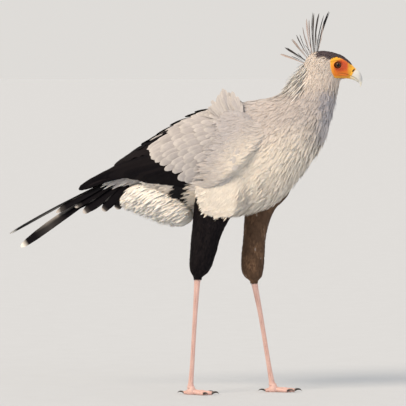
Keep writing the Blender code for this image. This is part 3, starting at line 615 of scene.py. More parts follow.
@dataclass(frozen=True)
class Finish:
    """What a piece is made of, as a named procedural material.

    Attributes:
        name: Name of the material.
        levels: Share of the tint where the pattern is lowest and highest.
        bump: Strength of the fine relief.
        relief: Depth of the relief, in metres.
        sockets: Constant values of the shader's own sockets.
    """

    name: str
    levels: tuple[float, float]
    bump: float
    relief: float
    sockets: dict[str, float | tuple[float, ...]]
    span: ClassVar[tuple[float, float]] = (0.0, 1.0)

    def material(self) -> bpy.types.Material:
        """Give the finish's material, made on first use."""
        found = bpy.data.materials.get(self.name)
        if found:
            return found
        made = bpy.data.materials.new(self.name)
        made.use_nodes = True
        tree, shader = made.node_tree, made.node_tree.nodes["Principled BSDF"]
        place = add_node(tree, "ShaderNodeTexCoord").outputs["Object"]
        height, uneven = self.pattern(tree, place)
        (low, high), (darkest, lightest) = self.span, self.levels
        level = add_node(tree, "ShaderNodeMapRange", {"From Min": low, "From Max": high, "To Min": darkest,
                                                      "To Max": lightest}, {"Value": uneven})
        tint = add_node(tree, "ShaderNodeAttribute", {"attribute_name": "Tint"})
        mixed = add_node(tree, "ShaderNodeVectorMath", {"operation": "SCALE"},
                         {0: tint.outputs["Color"], "Scale": level.outputs[0]})
        tree.links.new(mixed.outputs[0], shader.inputs["Base Color"])
        if self.bump:
            bump = add_node(tree, "ShaderNodeBump", {"Strength": self.bump, "Distance": self.relief},
                            {"Height": height})
            tree.links.new(bump.outputs[0], shader.inputs["Normal"])
        for socket, value in self.sockets.items():
            shader.inputs[socket].default_value = value
        return made

    def pattern(self, tree: bpy.types.NodeTree,
                place: bpy.types.NodeSocket) -> tuple[bpy.types.NodeSocket, bpy.types.NodeSocket]:
        """Add the finish's own nodes.

        Args:
            tree: Where they go.
            place: Object coordinates.

        Returns:
            The height of the relief, and how the tint comes and goes.
        """
        raise NotImplementedError


class FeatherFinish(Finish):
    """Keratin vanes grown as feathers: fine slanting barbs, matt, with a soft sheen along the edges."""

    # Real barbs are about 0.3 mm apart. They are drawn coarser, so that they show in the render.
    barb_spacing: ClassVar[float] = 1.6
    mottling: ClassVar[float] = 70.0

    def pattern(self, tree: bpy.types.NodeTree,
                place: bpy.types.NodeSocket) -> tuple[bpy.types.NodeSocket, bpy.types.NodeSocket]:
        """Add barbs that slant from the shaft, and soft mottling."""
        vane = add_node(tree, "ShaderNodeAttribute", {"attribute_name": "Vane"})
        parts = add_node(tree, "ShaderNodeSeparateXYZ", links={0: vane.outputs["Vector"]})
        aside = add_node(tree, "ShaderNodeMath", {"operation": "ABSOLUTE"}, {0: parts.outputs["X"]})
        slant = add_node(tree, "ShaderNodeMath", {"operation": "SUBTRACT"},
                         {0: parts.outputs["Y"], 1: aside.outputs[0]})
        turns = add_node(tree, "ShaderNodeMath",
                         {"operation": "MULTIPLY", 1: 2 * math.pi / self.barb_spacing},
                         {0: slant.outputs[0]})
        barbs = add_node(tree, "ShaderNodeMath", {"operation": "SINE"}, {0: turns.outputs[0]})
        mottle = add_node(tree, "ShaderNodeTexNoise", {"Scale": self.mottling, "Detail": 3.0},
                          {"Vector": place})
        return barbs.outputs[0], mottle.outputs["Fac"]


class SkinFinish(Finish):
    """Bare skin: thin, waxy and softly lit from within, pebbled by small scales and fine folds."""

    # Small round scales of the face and shanks are about a millimetre and a half across.
    scale_size: ClassVar[float] = 1.5
    folding: ClassVar[float] = 260.0
    span: ClassVar[tuple[float, float]] = (-0.4, 0.6)

    def pattern(self, tree: bpy.types.NodeTree,
                place: bpy.types.NodeSocket) -> tuple[bpy.types.NodeSocket, bpy.types.NodeSocket]:
        """Add pebbles and folds, which also shade the tint."""
        pebbles = add_node(tree, "ShaderNodeTexVoronoi", {"Scale": 1 / (self.scale_size * MM)},
                           {"Vector": place})
        folds = add_node(tree, "ShaderNodeTexNoise", {"Scale": self.folding, "Detail": 4.0},
                         {"Vector": place})
        height = add_node(tree, "ShaderNodeMath", {"operation": "SUBTRACT"},
                          {0: folds.outputs["Fac"], 1: pebbles.outputs["Distance"]})
        return height.outputs[0], height.outputs[0]


class HornFinish(Finish):
    """Grown horn of bill and claws: dense, satin, with faint lines of growth along it."""

    line_scale: ClassVar[float] = 90.0
    stretch: ClassVar[tuple[float, float, float]] = (1.0, 1.0, 4.0)
    detail: ClassVar[float] = 4.0

    def pattern(self, tree: bpy.types.NodeTree,
                place: bpy.types.NodeSocket) -> tuple[bpy.types.NodeSocket, bpy.types.NodeSocket]:
        """Add streaks of growth, which are also a shallow relief."""
        drawn = add_node(tree, "ShaderNodeMapping", {"Scale": self.stretch}, {"Vector": place})
        streaks = add_node(tree, "ShaderNodeTexNoise", {"Scale": self.line_scale, "Detail": self.detail},
                           {"Vector": drawn.outputs[0]})
        return streaks.outputs["Fac"], streaks.outputs["Fac"]


class EyeFinish(HornFinish):
    """A living eye: dark brown iris with fine rays round a black pupil, under a wet clear cornea."""

    line_scale: ClassVar[float] = 900.0
    stretch: ClassVar[tuple[float, float, float]] = (1.0, 1.0, 1.0)
    detail: ClassVar[float] = 2.0


def feathers(name: str, bump: float, shade: float, roughness: float, sheen: float, gloss: float = 0.2,
             glow: float = 0.0) -> FeatherFinish:
    """Describe one kind of feather.

    Args:
        name: Name of the material.
        bump: Strength of the barbs.
        shade: How far the tint comes and goes.
        roughness: Roughness of the vane.
        sheen: Soft light along edges.
        gloss: Specular level.
        glow: Share of the light that spreads inside loose feathers.

    Returns:
        The finish.
    """
    return FeatherFinish(name, (1 - shade, 1 + shade), bump, 0.0003, {
        "Roughness": roughness, "Sheen Weight": sheen, "Specular IOR Level": gloss,
        "Subsurface Weight": glow, "Subsurface Radius": (0.006, 0.005, 0.004)})


SOFT_FEATHERS = feathers("soft body feathers", 0.2, 0.09, 0.9, 0.1, glow=0.5)
VANES = feathers("firm grey vanes", 0.5, 0.14, 0.7, 0.12)
BLACK_VANES = feathers("glossy black vanes", 0.5, 0.3, 0.55, 0.0, gloss=0.05)
DOWN = feathers("loose white down", 0.1, 0.06, 0.9, 0.1, glow=0.6)
SKIN = SkinFinish("bare skin", (0.78, 1.1), 0.4, 0.0005, {
    "Roughness": 0.5, "Subsurface Weight": 0.12, "Subsurface Radius": (0.002, 0.001, 0.0006)})
BILL_HORN = HornFinish("bill horn", (0.82, 1.12), 0.15, 0.0004, {"Roughness": 0.3, "Coat Weight": 0.15})
CLAW_HORN = HornFinish("claw horn", (0.82, 1.12), 0.15, 0.0004, {"Roughness": 0.38, "Coat Weight": 0.15})
EYE = EyeFinish("wet brown eye", (0.7, 1.3), 0.0, 0.0, {
    "Roughness": 0.2, "Specular IOR Level": 0.1, "Coat Weight": 0.35, "Coat Roughness": 0.02})


def store(mesh: bpy.types.Mesh, name: str, values: Array) -> None:
    """Store a vector for each point of a mesh."""
    layer = mesh.attributes.new(name, "FLOAT_VECTOR", "POINT")
    layer.data.foreach_set("vector", values.astype(np.float32).ravel())


def lay_map(mesh: bpy.types.Mesh, places: Array) -> None:
    """Lay a mesh out flat for baking, by a place for each of its points."""
    corner = np.empty(len(mesh.loops), np.int32)
    mesh.loops.foreach_get("vertex_index", corner)
    layer = mesh.uv_layers.new(name=BAKE_MAP)
    layer.data.foreach_set("uv", places[corner].astype(np.float32).ravel())


def paint(obj: Piece, colours: Array) -> None:
    """Store a colour for each point of a piece.

    Args:
        obj: The piece.
        colours: Linear colours, one a point.
    """
    values = np.concatenate((colours, np.ones((len(colours), 1))), axis=1).astype(np.float32)
    obj.data.attributes.new("Tint", "FLOAT_COLOR", "POINT").data.foreach_set("color", values.ravel())


def points_of(obj: Piece) -> Array:
    """Points of a piece in millimetres, before the frame shift."""
    values = np.empty(len(obj.data.vertices) * 3, np.float32)
    obj.data.vertices.foreach_get("co", values)
    return values.reshape(-1, 3).astype(float) / MM - FRAME_SHIFT


def settle(obj: Piece, slot: str, *nodes: str) -> None:
    """Let a finished piece ride on the body, and hide the solids that it stands for."""
    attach(obj, ROOT_BODY)
    if nodes:
        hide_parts(*nodes)
    LOG.info("%s: %d faces", obj.name, len(obj.data.polygons))


# Feathered thighs from the heel up: back x, front x, centre y, half thickness, z.
THIGHS = {
    Side.RIGHT: rows_of(
        (41, 61, -60, 9, 327), (33, 78, -60, 19, 340), (29, 90, -60, 25, 360), (31, 103, -60, 29, 400),
        (34, 114, -59, 31, 440), (38, 133, -58, 32, 480), (41, 158, -55, 32, 525), (48, 176, -48, 28, 560),
        (60, 180, -40, 22, 590)),
    Side.LEFT: rows_of(
        (181, 200, 60, 9, 311), (164, 211, 60, 19, 324), (156, 216, 60, 25, 345), (156, 219, 60, 29, 385),
        (161, 222, 59, 31, 430), (164, 232, 58, 32, 475), (168, 250, 55, 32, 515), (182, 284, 48, 28, 550),
        (205, 296, 40, 22, 580)),
}
THIGH_COAT = 4.0

# Bare shanks from the foot up: centre x, centre y, z, half length along x, half thickness.
SHANKS = {
    Side.RIGHT: rows_of(
        (31, -60, 19, 10, 8.5), (32, -60, 34, 7, 6.5), (36, -60, 90, 5.6, 5), (43, -60, 210, 5.8, 5.2),
        (49, -60, 300, 7.5, 7), (51, -60, 326.5, 9.0, 7.5), (52, -60, 346, 8.0, 7.0)),
    Side.LEFT: rows_of(
        (243, 60, 19, 10, 8.5), (240, 60, 34, 7, 6.5), (230, 60, 90, 5.6, 5), (210, 60, 210, 5.8, 5.2),
        (195.5, 60, 285, 7.5, 7), (190.5, 60, 310.5, 9.0, 7.5), (188, 60, 330, 8.0, 7.0)),
}
# Toes: heading in degrees from straight ahead, inwards positive; length; radius.
TOES = {"inner": (24, 44, 7.0), "middle": (0, 60, 7.5), "outer": (-26, 46, 6.8), "hind": (172, 22, 6.2)}
FOOT_YAW = {Side.RIGHT: -6, Side.LEFT: 8}
CLAW_LENGTH = {"inner": 21, "middle": 20, "outer": 16, "hind": 20}
TOE_PROFILE = rows_of(
    (0.0, 1.15), (0.15, 0.95), (0.3, 0.84), (0.42, 0.92), (0.55, 0.94), (0.68, 0.8), (0.8, 0.84),
    (0.92, 0.72), (1.0, 0.6))
TOE_SINK = 0.78
# Points nearer to the middle plane than this lie on it, and go to the right half of the skin's map.
MIDLINE = 1e-9

BROW = rows_of((418, 930), (434, 935), (448, 933.5), (462, 926.5), (470, 919))
GAPE = rows_of((441, 896.5), (452, 896), (462, 893.8), (471, 891), (478, 888.6))

# Flesh base of the tail and inner mass under it: x, top, bottom, half width.
TAIL_STUMP = rows_of(
    (-60, 655, 605, 17), (-88, 646, 600, 19), (-125, 643, 592, 20), (-150, 631, 586, 17),
    (-168, 620, 584, 12), (-178, 611, 588, 6))
FLUFF_CORE = rows_of(
    (28, 520, 482, 28), (10, 558, 480, 46), (-30, 585, 492, 57), (-75, 600, 512, 59), (-115, 602, 530, 51),
    (-138, 588, 540, 38), (-150, 572, 550, 18))
FLUFF_COAT = 14.0


def line_distance(x: Array, z: Array, line: Array) -> Array:
    """Distance in the side view from places to a line of a few points."""
    best = np.full(np.shape(x), np.inf)
    for (x0, z0), (x1, z1) in zip(line, line[1:]):
        length = (x1 - x0) ** 2 + (z1 - z0) ** 2
        t = np.clip(((x - x0) * (x1 - x0) + (z - z0) * (z1 - z0)) / length, 0, 1)
        best = np.minimum(best, np.hypot(x - x0 - t * (x1 - x0), z - z0 - t * (z1 - z0)))
    return best


def leg_surface(table: Array, place: Array, turn: Array, lift: Array = 0.0) -> Array:
    """Points of a thigh.

    Args:
        table: The thigh's rows from the heel up.
        place: Fractional rows.
        turn: Angles in degrees, 0 to the front and 90 to the left.
        lift: Height above the surface.

    Returns:
        Points with one more axis than place.
    """
    rows = follow_rows(table, place)
    back, front, y, half, z = (rows[..., k] for k in range(5))
    angle = np.radians(turn)
    return np.stack((
        (back + front) / 2 + ((front - back) / 2 + lift) * np.cos(angle),
        y + (half + lift) * np.sin(angle),
        z + 0 * angle,
    ), axis=-1)


def stack_surface(table: Array, place: Array, turn: Array, lift: Array = 0.0) -> Array:
    """Points of a mass given by x, top, bottom and half width; turn is 0 below and 90 on the left."""
    rows = follow_rows(table, place)
    x, top, bottom, half = (rows[..., k] for k in range(4))
    angle = np.radians(turn)
    return np.stack((
        x + 0 * angle,
        (half + lift) * np.sin(angle),
        (top + bottom) / 2 - ((top - bottom) / 2 + lift) * np.cos(angle),
    ), axis=-1)


def stack_normals(table: Array, place: Array, turn: Array) -> Array:
    """Outward directions of such a mass."""
    return unit(stack_surface(table, place, turn, 1.0) - stack_surface(table, place, turn, 0.0))


def toe_frame(side: Side, toe: str) -> tuple[Array, Array]:
    """Root and heading of a toe."""
    heading, _, _ = TOES[toe]
    angle = math.radians(FOOT_YAW[side] - side.value * heading)
    shank_x, shank_y = SHANKS[side][0][:2]
    return np.array((shank_x + 2, shank_y, 9.0)), np.array((math.cos(angle), math.sin(angle), 0.0))


@dataclass
class Skin:
    """The one skin of the bird, from the face to the toes, under the coat.

    Attributes:
        coat: Depth of the coat over the torso.
        head_coat: Depth of the coat over the head.
        sides: Points round the body.
        head_step: Step between rings on the head, in stations.
    """

    coat: float = 4.0
    head_coat: float = 1.6
    sides: int = 220
    head_step: float = 0.05

    def body(self) -> tuple[Array, list[Array]]:
        """Rings of trunk, neck and head, with lids, brow and the line of the mouth."""
        rump = RUMP_STATION - RUMP_ROUNDING * np.array((0.97, 0.8, 0.5))
        places = np.concatenate((rump, np.arange(RUMP_STATION, HEAD_STATION, 0.25),
                                 np.arange(HEAD_STATION, LAST_STATION + 0.01, self.head_step)))
        angles = np.linspace(0, 360, self.sides, endpoint=False)
        place, angle = np.meshgrid(places, angles, indexing="ij")
        flat = form_points(place, angle)
        lift = self.relief(place, flat)
        past = (RUMP_STATION - np.minimum(place, RUMP_STATION)) / RUMP_ROUNDING
        shrink = np.sqrt(np.clip(1 - past**2, 0, 1))
        rings = form_points(place, angle, lift)
        centre = rings.mean(axis=1, keepdims=True)
        return loft_arrays(centre + (rings - centre) * shrink[..., None])

    def relief(self, place: Array, flat: Array) -> Array:
        """Height of the skin over the form at each point."""
        x, y, z = flat[..., 0], flat[..., 1], flat[..., 2]
        bare = bare_face(flat) * (place > 15)
        depth = np.interp(place, (10, 15), (self.coat, self.head_coat))
        lift = -depth * (1 - bare)
        on_side = ramp(np.abs(y), 10, 6) * (place > 15)
        from_eye = np.hypot((x - EYE_CENTRE[0]) / 1.1, z - EYE_CENTRE[2])
        # The lid, a fold behind it, and the hollow that the eye sits in.
        lift += on_side * 1.9 * bell(from_eye, 10.6, 1.5)
        lift += on_side * 0.7 * bell(from_eye, 14.4, 1.2) * ramp(x, 425, 8)
        lift -= on_side * 6.0 * ramp(from_eye, 9.0, -1.0)
        # The ridge of the brow, the line of the mouth and the lip below it.
        lift += on_side * 3.2 * bell(line_distance(x, z, BROW), 0, 3.3)
        lift -= on_side * 1.3 * bell(line_distance(x, z, GAPE), 0, 0.9)
        lift += on_side * 0.8 * bell(line_distance(x, z, GAPE - (0, 3.0)), 0, 1.3)
        folds = np.sin(x * 1.9 + np.sin(z * 0.5) * 1.6) * np.sin(z * 1.3 + x * 0.35)
        return lift + bare * on_side * 0.22 * folds

    def limbs(self) -> list[tuple[Array, list[Array]]]:
        """Closed tubes of thighs, shanks, toes, tail base and under-tail mass."""
        turns = np.linspace(0, 360, 40, endpoint=False)
        made = []
        for side in Side:
            table = THIGHS[side]
            place, turn = np.meshgrid(np.linspace(0.4, len(table) - 1, 34), turns, indexing="ij")
            made.append(loft_arrays(leg_surface(table, place, turn, -THIGH_COAT)))
            rows = even_rows(SHANKS[side], 60)
            # The back of the shank is a ridge of tendon, so the section is drawn out to the rear.
            ring = np.stack((np.cos(np.radians(turns)), np.sin(np.radians(turns))), axis=-1)
            ring[:, 0] -= 0.12 * bell(turns, 180, 30)
            shank = np.repeat(rows[:, None, :3], len(turns), axis=1)
            shank[..., :2] += rows[:, None, 3:] * ring
            made += [loft_arrays(shank), self.ankle(side)]
            made += [self.toe(side, toe) for toe in TOES]
        for table, coat in ((TAIL_STUMP, 1.0), (FLUFF_CORE, FLUFF_COAT)):
            place, turn = np.meshgrid(np.linspace(0, len(table) - 1, 28), turns, indexing="ij")
            made.append(loft_arrays(stack_surface(table, place, turn, -coat)))
        return made

    def ankle(self, side: Side) -> tuple[Array, list[Array]]:
        """Pad where the toes meet the shank, flat below."""
        shank_x, shank_y = SHANKS[side][0][:2]
        table = rows_of(
            (0.0, 13, 11), (3, 14.5, 12.5), (7, 15, 13), (13, 12.5, 11), (19, 10.2, 8.7), (24, 8, 7))
        centres = np.array((shank_x + 2.0, shank_y, 0.0)) + np.outer(table[:, 0], (0, 0, 1))
        half_x, half_y = np.outer(table[:, 1], (1, 0, 0)), np.outer(table[:, 2], (0, 1, 0))
        return loft_arrays(ellipse_rings(centres, half_x, half_y, 32))

    def toe(self, side: Side, toe: str) -> tuple[Array, list[Array]]:
        """One toe with knuckles above and pads below, flat on the floor."""
        root, heading = toe_frame(side, toe)
        _, length, radius = TOES[toe]
        shares = np.linspace(0, 1, 30)
        scale = np.interp(shares, TOE_PROFILE[:, 0], TOE_PROFILE[:, 1])
        scale = np.convolve(np.pad(scale, 2, "edge"), np.ones(5) / 5, "valid")
        centres = root + heading * length * shares[:, None]
        sunk = radius * TOE_SINK
        centres[:, 2] = sunk * (scale * 0.6 + 0.4) + (root[2] - sunk) * (1 - shares) ** 2
        reach = (radius * scale)[:, None]
        across, up = np.cross((0, 0, 1), heading) * reach, np.array((0, 0, 1.0)) * reach
        rings = ellipse_rings(centres, across, up, 24)
        rings[..., 2] = np.maximum(rings[..., 2], 0.0)
        return loft_arrays(rings)

    def build(self) -> Piece:
        """Join body and limbs as one closed surface and paint it."""
        points, faces = self.body()
        skin = set_outwards(mesh_object("skin", points, faces, SKIN.material()))
        holder = bpy.data.collections.new("limbs")
        bpy.context.scene.collection.children.link(holder)
        for number, (points, faces) in enumerate(self.limbs()):
            limb = set_outwards(mesh_object(f"limb_{number}", points, faces, SKIN.material()))
            bpy.context.scene.collection.objects.unlink(limb)
            holder.objects.link(limb)
        union = skin.modifiers.new("union", "BOOLEAN")
        union.operation, union.operand_type, union.collection = "UNION", "COLLECTION", holder
        graph = bpy.context.evaluated_depsgraph_get()
        mesh = bpy.data.meshes.new_from_object(skin.evaluated_get(graph))
        skin.modifiers.clear()
        skin.data = mesh
        for limb in list(holder.objects):
            bpy.data.objects.remove(limb)
        bpy.data.collections.remove(holder)
        mesh.shade_smooth()
        paint(skin, self.colours(points_of(skin)))
        self.map(skin)
        return skin

    def colours(self, points: Array) -> Array:
        """Colours of the skin, with the coat's markings where feathers cover it."""
        x, y, z = points[:, 0], points[:, 1], points[:, 2]
        # Painted shade: under the coat the skin carries the coat's markings a little darker, as the shade
        # between the feathers.
        colour = plumage_colour(points) * 0.92
        colour = blend(colour, face_colour(points), bare_face(points) * (x > 405))
        lid = bell(np.hypot(x - EYE_CENTRE[0], z - EYE_CENTRE[2]), 9.2, 1.0) * (x > 400)
        colour = blend(colour, linear("#3A1408"), lid * 0.85)
        mouth = bell(line_distance(x, z, GAPE), 0, 0.8) * (x > 400)
        colour = blend(colour, linear("#8A3A08"), mouth * 0.8)
        on_leg = np.zeros(len(points))
        for side in Side:
            table = THIGHS[side]
            back, front = (np.interp(z, table[:, 4], table[:, k]) for k in (0, 1))
            inside = (y * side.value > 20) & (x > back - 2) & (x < front + 2) & (z < 560)
            on_leg = np.maximum(on_leg, inside)
        colour = blend(colour, BLACK, on_leg)
        heel = np.where(y < 0, 340, 324)
        leg = blend(LEG_DARK, LEG_PINK, 0.5 + 0.5 * np.sin(z * 0.09))
        return blend(colour, leg, (z < heel).astype(float))

    def map(self, skin: Piece) -> None:
        """Lay the skin out flat: the side view on each half, which keeps the face large enough to bake."""
        points = points_of(skin)
        low, high = points.min(axis=0), points.max(axis=0)
        along, _, up = ((points - low) / (high - low)).T
        half = np.where(points[:, 1] > MIDLINE, 0.55, 0.05)
        lay_map(skin.data, np.stack((0.02 + 0.96 * along, half + 0.4 * up), axis=-1))


# Upper and lower angle of the folded wing at each station from the tips forward.
WING_EDGES = rows_of(
    (34, 72), (20, 96), (16, 122), (14, 124), (14, 122), (17, 119), (27, 103), (43, 86), (62, 68))


# Pieces of the coat, and the stations that they run between.
COAT_PIECES = (("coat_trunk", 0, 8.0), ("coat_breast", 8.0, 11.5), ("coat_neck", 11.5, 15.0),
               ("coat_head", 15.0, 22))


@dataclass
class BodyCoat:
    """Small feathers of trunk, neck and head, in rows that follow the form.

    Attributes:
        seed: Seed of the small differences.
        spacing: Distance between rows and between feathers at each station, as station and millimetres.
        length: Length of the feathers at each station.
    """

    seed: int = 3
    spacing: tuple[tuple[float, float], ...] = ((3, 4.8), (8, 4.3), (12, 3.3), (15, 2.7), (18, 2.0),
                                                (21, 1.7))
    length: tuple[tuple[float, float], ...] = ((3, 38), (8, 36), (11, 31), (13, 27), (15, 19), (18, 11),
                                               (21, 6))

    def rows(self) -> tuple[Array, Array]:
        """Stations and angles of all the roots."""
        random = np.random.default_rng(self.seed)
        places, angles = [], []
        place = RUMP_STATION - 0.4
        knots, gaps = np.array(self.spacing, float).T
        row = 0
        while place < LAST_STATION - 0.15:
            gap = float(np.interp(place, knots, gaps))
            step = np.linalg.norm(form_points(place + 0.05, 90.0) - form_points(place - 0.05, 90.0)) / 0.1
            count = int(form_girth(np.array(place)) / gap)
            angle = (np.arange(count) + 0.5 * (row % 2)) * 360 / count - 180
            places.append(place + random.normal(0, 0.22 * gap / step, count))
            angles.append(angle + random.normal(0, 0.25 * 360 / count, count))
            place += gap * 1.15 / step
            row += 1
        return np.concatenate(places), np.concatenate(angles)

    def build(self) -> list[Piece]:
        """Make the coat in three pieces, from the trunk to the head."""
        place, angle = self.rows()
        roots = form_points(place, angle)
        upper, lower = follow_rows(WING_EDGES, place).T
        # Over the rump the wings part, and the coat runs on below them.
        margin = 4 + 110 * ramp(place, 4.4, -1.2)
        under_wing = (place < 7.6) & (np.abs(angle) > upper + margin) & (np.abs(angle) < lower - 7)
        bare = bare_face(roots) * (place > 15)
        under_tail = (place < 3.3) & (np.abs(angle) > 112)
        keep = ~under_wing & (bare < 0.45) & ~under_tail
        pieces = []
        for name, low, high in COAT_PIECES:
            chosen = keep & (place >= low) & (place < high)
            pieces.append(self.piece(name, place[chosen], angle[chosen]))
        return pieces

    def piece(self, name: str, place: Array, angle: Array) -> Piece:
        """Make one piece of the coat from its roots."""
        random = np.random.default_rng(self.seed + len(place))
        shape = TUFT if name != "coat_head" else SMALL_TUFT
        shares = np.array(shape.shares)
        knots, lengths = np.array(self.length, float).T
        length = np.interp(place, knots, lengths) * random.uniform(0.75, 1.2, len(place))
        roots = form_points(place, angle)
        # Feathers are long and loose low on the breast and belly, and short near the bare face.
        low = ramp(np.abs(angle), 95, 50) * (place < 11.5)
        length = length * (1 + 0.5 * low)
        near_face = np.clip(1 - (place - 17.2) / 1.2, 0.45, 1.0)
        length = length * near_face
        ahead, behind = form_points(place + 0.05, angle), form_points(place - 0.05, angle)
        step = np.linalg.norm(ahead - behind, axis=-1) / 0.1
        reach = np.minimum(length / np.maximum(step, 4), 2.2)
        sideways = random.normal(0, 5, len(place)) * np.interp(place, (10, 18), (1.0, 1.8))
        # On the breast the lie turns downwards, from the back to the belly.
        droop = np.sign(angle) * 7 * ramp(place, 4, 3) * ramp(place, 12, -3)
        droop = droop * ramp(np.abs(angle), 150, -40)
        most = np.interp(place, (3, 12, 15, 18, 21), (1.8, 3.2, 2.0, 1.0, 0.6))
        rise = 0.4 + random.random(len(place)) ** 3 * most
        rise = rise + low * random.uniform(0, 2.0, len(place))
        # A few loose ends stand off the throat and breast.
        throat = (np.abs(angle) > 120) * (place > 9) * (place < 16.5)
        rise = rise + 7 * random.random(len(place)) ** 6 * throat
        line_place = place[:, None] - reach[:, None] * shares
        line_angle = angle[:, None] + (sideways + droop)[:, None] * shares
        depth = np.interp(place, (10, 15), (3.0, 1.2))
        lift = -depth[:, None] * (1 - shares) ** 2 + rise[:, None] * shares ** 1.2
        # Past the end of the form the feathers run straight on and close over the rump.
        last = RUMP_STATION - 0.4
        beyond = np.maximum(last - line_place, 0) * step[:, None]
        line_place = np.maximum(line_place, last)
        end = np.full(line_place.shape, last)
        onward = unit(form_points(end, line_angle) - form_points(end + 0.3, line_angle))
        line = form_points(line_place, line_angle, lift)
        line = line + beyond[..., None] * unit(onward - 0.35 * form_normals(end, line_angle))
        sag = low[:, None] * length[:, None] * shares**2
        line[..., 2] -= sag * 0.3
        facing = form_normals(line_place, line_angle)
        facing = facing + random.normal(0, 0.05, (len(place), 1, 3))
        wide = np.interp(place, (3, 8, 12, 15, 18, 21), (4.8, 4.4, 2.7, 1.9, 1.2, 0.9))
        wide = wide * random.choice((0.3, 0.6, 1.0, 1.15), len(place))
        colour = plumage_colour(roots)
        tint = np.repeat(colour[:, None], len(shares), axis=1)
        # Painted shade: each feather is painted a little darker at its root, where it lies under the ones
        # above.
        tint = tint * (0.97 + 0.04 * shares)[None, :, None]
        batch = BladeBatch(name)
        batch.add(shape, line, facing, wide, tint, form_map(place, angle), random)
        return batch.build(SOFT_FEATHERS)


@dataclass
class ThighCoat:
    """Short close feathers that run down one thigh.

    Attributes:
        side: Which leg.
        spacing: Distance between feathers.
        length: Length of one feather.
    """

    side: Side
    spacing: float = 4.6
    length: float = 22.0

    def build(self) -> Piece:
        """Make the thigh's feathers, with a few pale specks on the far leg."""
        random = np.random.default_rng(40 + self.side.value)
        table = THIGHS[self.side]
        heights = np.arange(table[0, 4] + 6, table[-1, 4], self.spacing)
        places, turns = [], []
        for row, height in enumerate(heights):
            place = float(np.interp(height, table[:, 4], np.arange(len(table))))
            back, front, _, half, _ = follow_rows(table, np.array(place))
            count = int(math.pi * ((front - back) / 2 + half) / self.spacing)
            turns.append((np.arange(count) + 0.5 * (row % 2)) * 360 / count + random.normal(0, 4, count))
            places.append(np.full(count, height) + random.normal(0, 1.2, count))
        height, turn = np.concatenate(places), np.concatenate(turns)
        shares = np.array(TUFT.shares)
        length = self.length * random.uniform(0.75, 1.2, len(height))
        line_height = np.maximum(height[:, None] - length[:, None] * shares, table[0, 4] - 5.0)
        line_place = np.interp(line_height, table[:, 4], np.arange(len(table)))
        line_turn = turn[:, None] + random.normal(0, 5, len(turn))[:, None] * shares
        rise = random.uniform(0.2, 1.7, len(turn))
        lift = -3.0 * (1 - shares) ** 2 + rise[:, None] * shares
        line = leg_surface(table, line_place, line_turn, lift)
        line[..., 2] = line_height
        facing = line * 0
        facing[..., 0], facing[..., 1] = np.cos(np.radians(line_turn)), np.sin(np.radians(line_turn))
        ground = blend(BLACK, SOOT, random.random(len(turn)) * (0.6 if self.side is Side.RIGHT else 1.0))
        if self.side is Side.LEFT:
            # The inner side of the far thigh is browner, with pale specks in places.
            patch = np.sin(height * 0.07 + turn * 0.013) * np.sin(turn * 0.045 + height * 0.031)
            brown = 0.5 + 0.5 * smooth_step(patch + 0.4) * random.random(len(turn))
            inner = smooth_step(0.62 - 0.8 * np.sin(np.radians(turn)))
            ground = blend(ground, UMBER, brown * inner)
            ground = blend(ground, PALE_GREY,
                           (random.random(len(turn)) > 0.96) * 0.3 * (patch > 0.2) * inner)
        flat = np.stack((height / 600, (turn % 360) / 360 * 0.98 + 0.01), axis=-1)
        batch = BladeBatch(f"coat_thigh_{self.side.word}")
        batch.add(TUFT, line, facing, 3.3 * random.uniform(0.8, 1.2, len(turn)), ground, flat, random)
        return batch.build(BLACK_VANES)


# Edge that the tips of the loose flank feathers reach over the top of each thigh, in the side view: x and z.
FLANKS = {
    Side.RIGHT: rows_of(
        (55, 580), (61, 548), (72, 519), (88, 505), (108, 500), (135, 504), (165, 516), (212, 538)),
    Side.LEFT: rows_of((90, 560), (110, 530), (170, 512), (215, 518), (262, 545)),
}
# Half width of the plumage over the thigh and of the bare form by height.
OVER_THIGH = rows_of((495, 88), (540, 92), (570, 91), (600, 87), (630, 85))
OVER_BELLY = rows_of((500, 20), (520, 32), (540, 52), (560, 65), (580, 74), (600, 80), (640, 87))
FLANK_TOP = 622.0


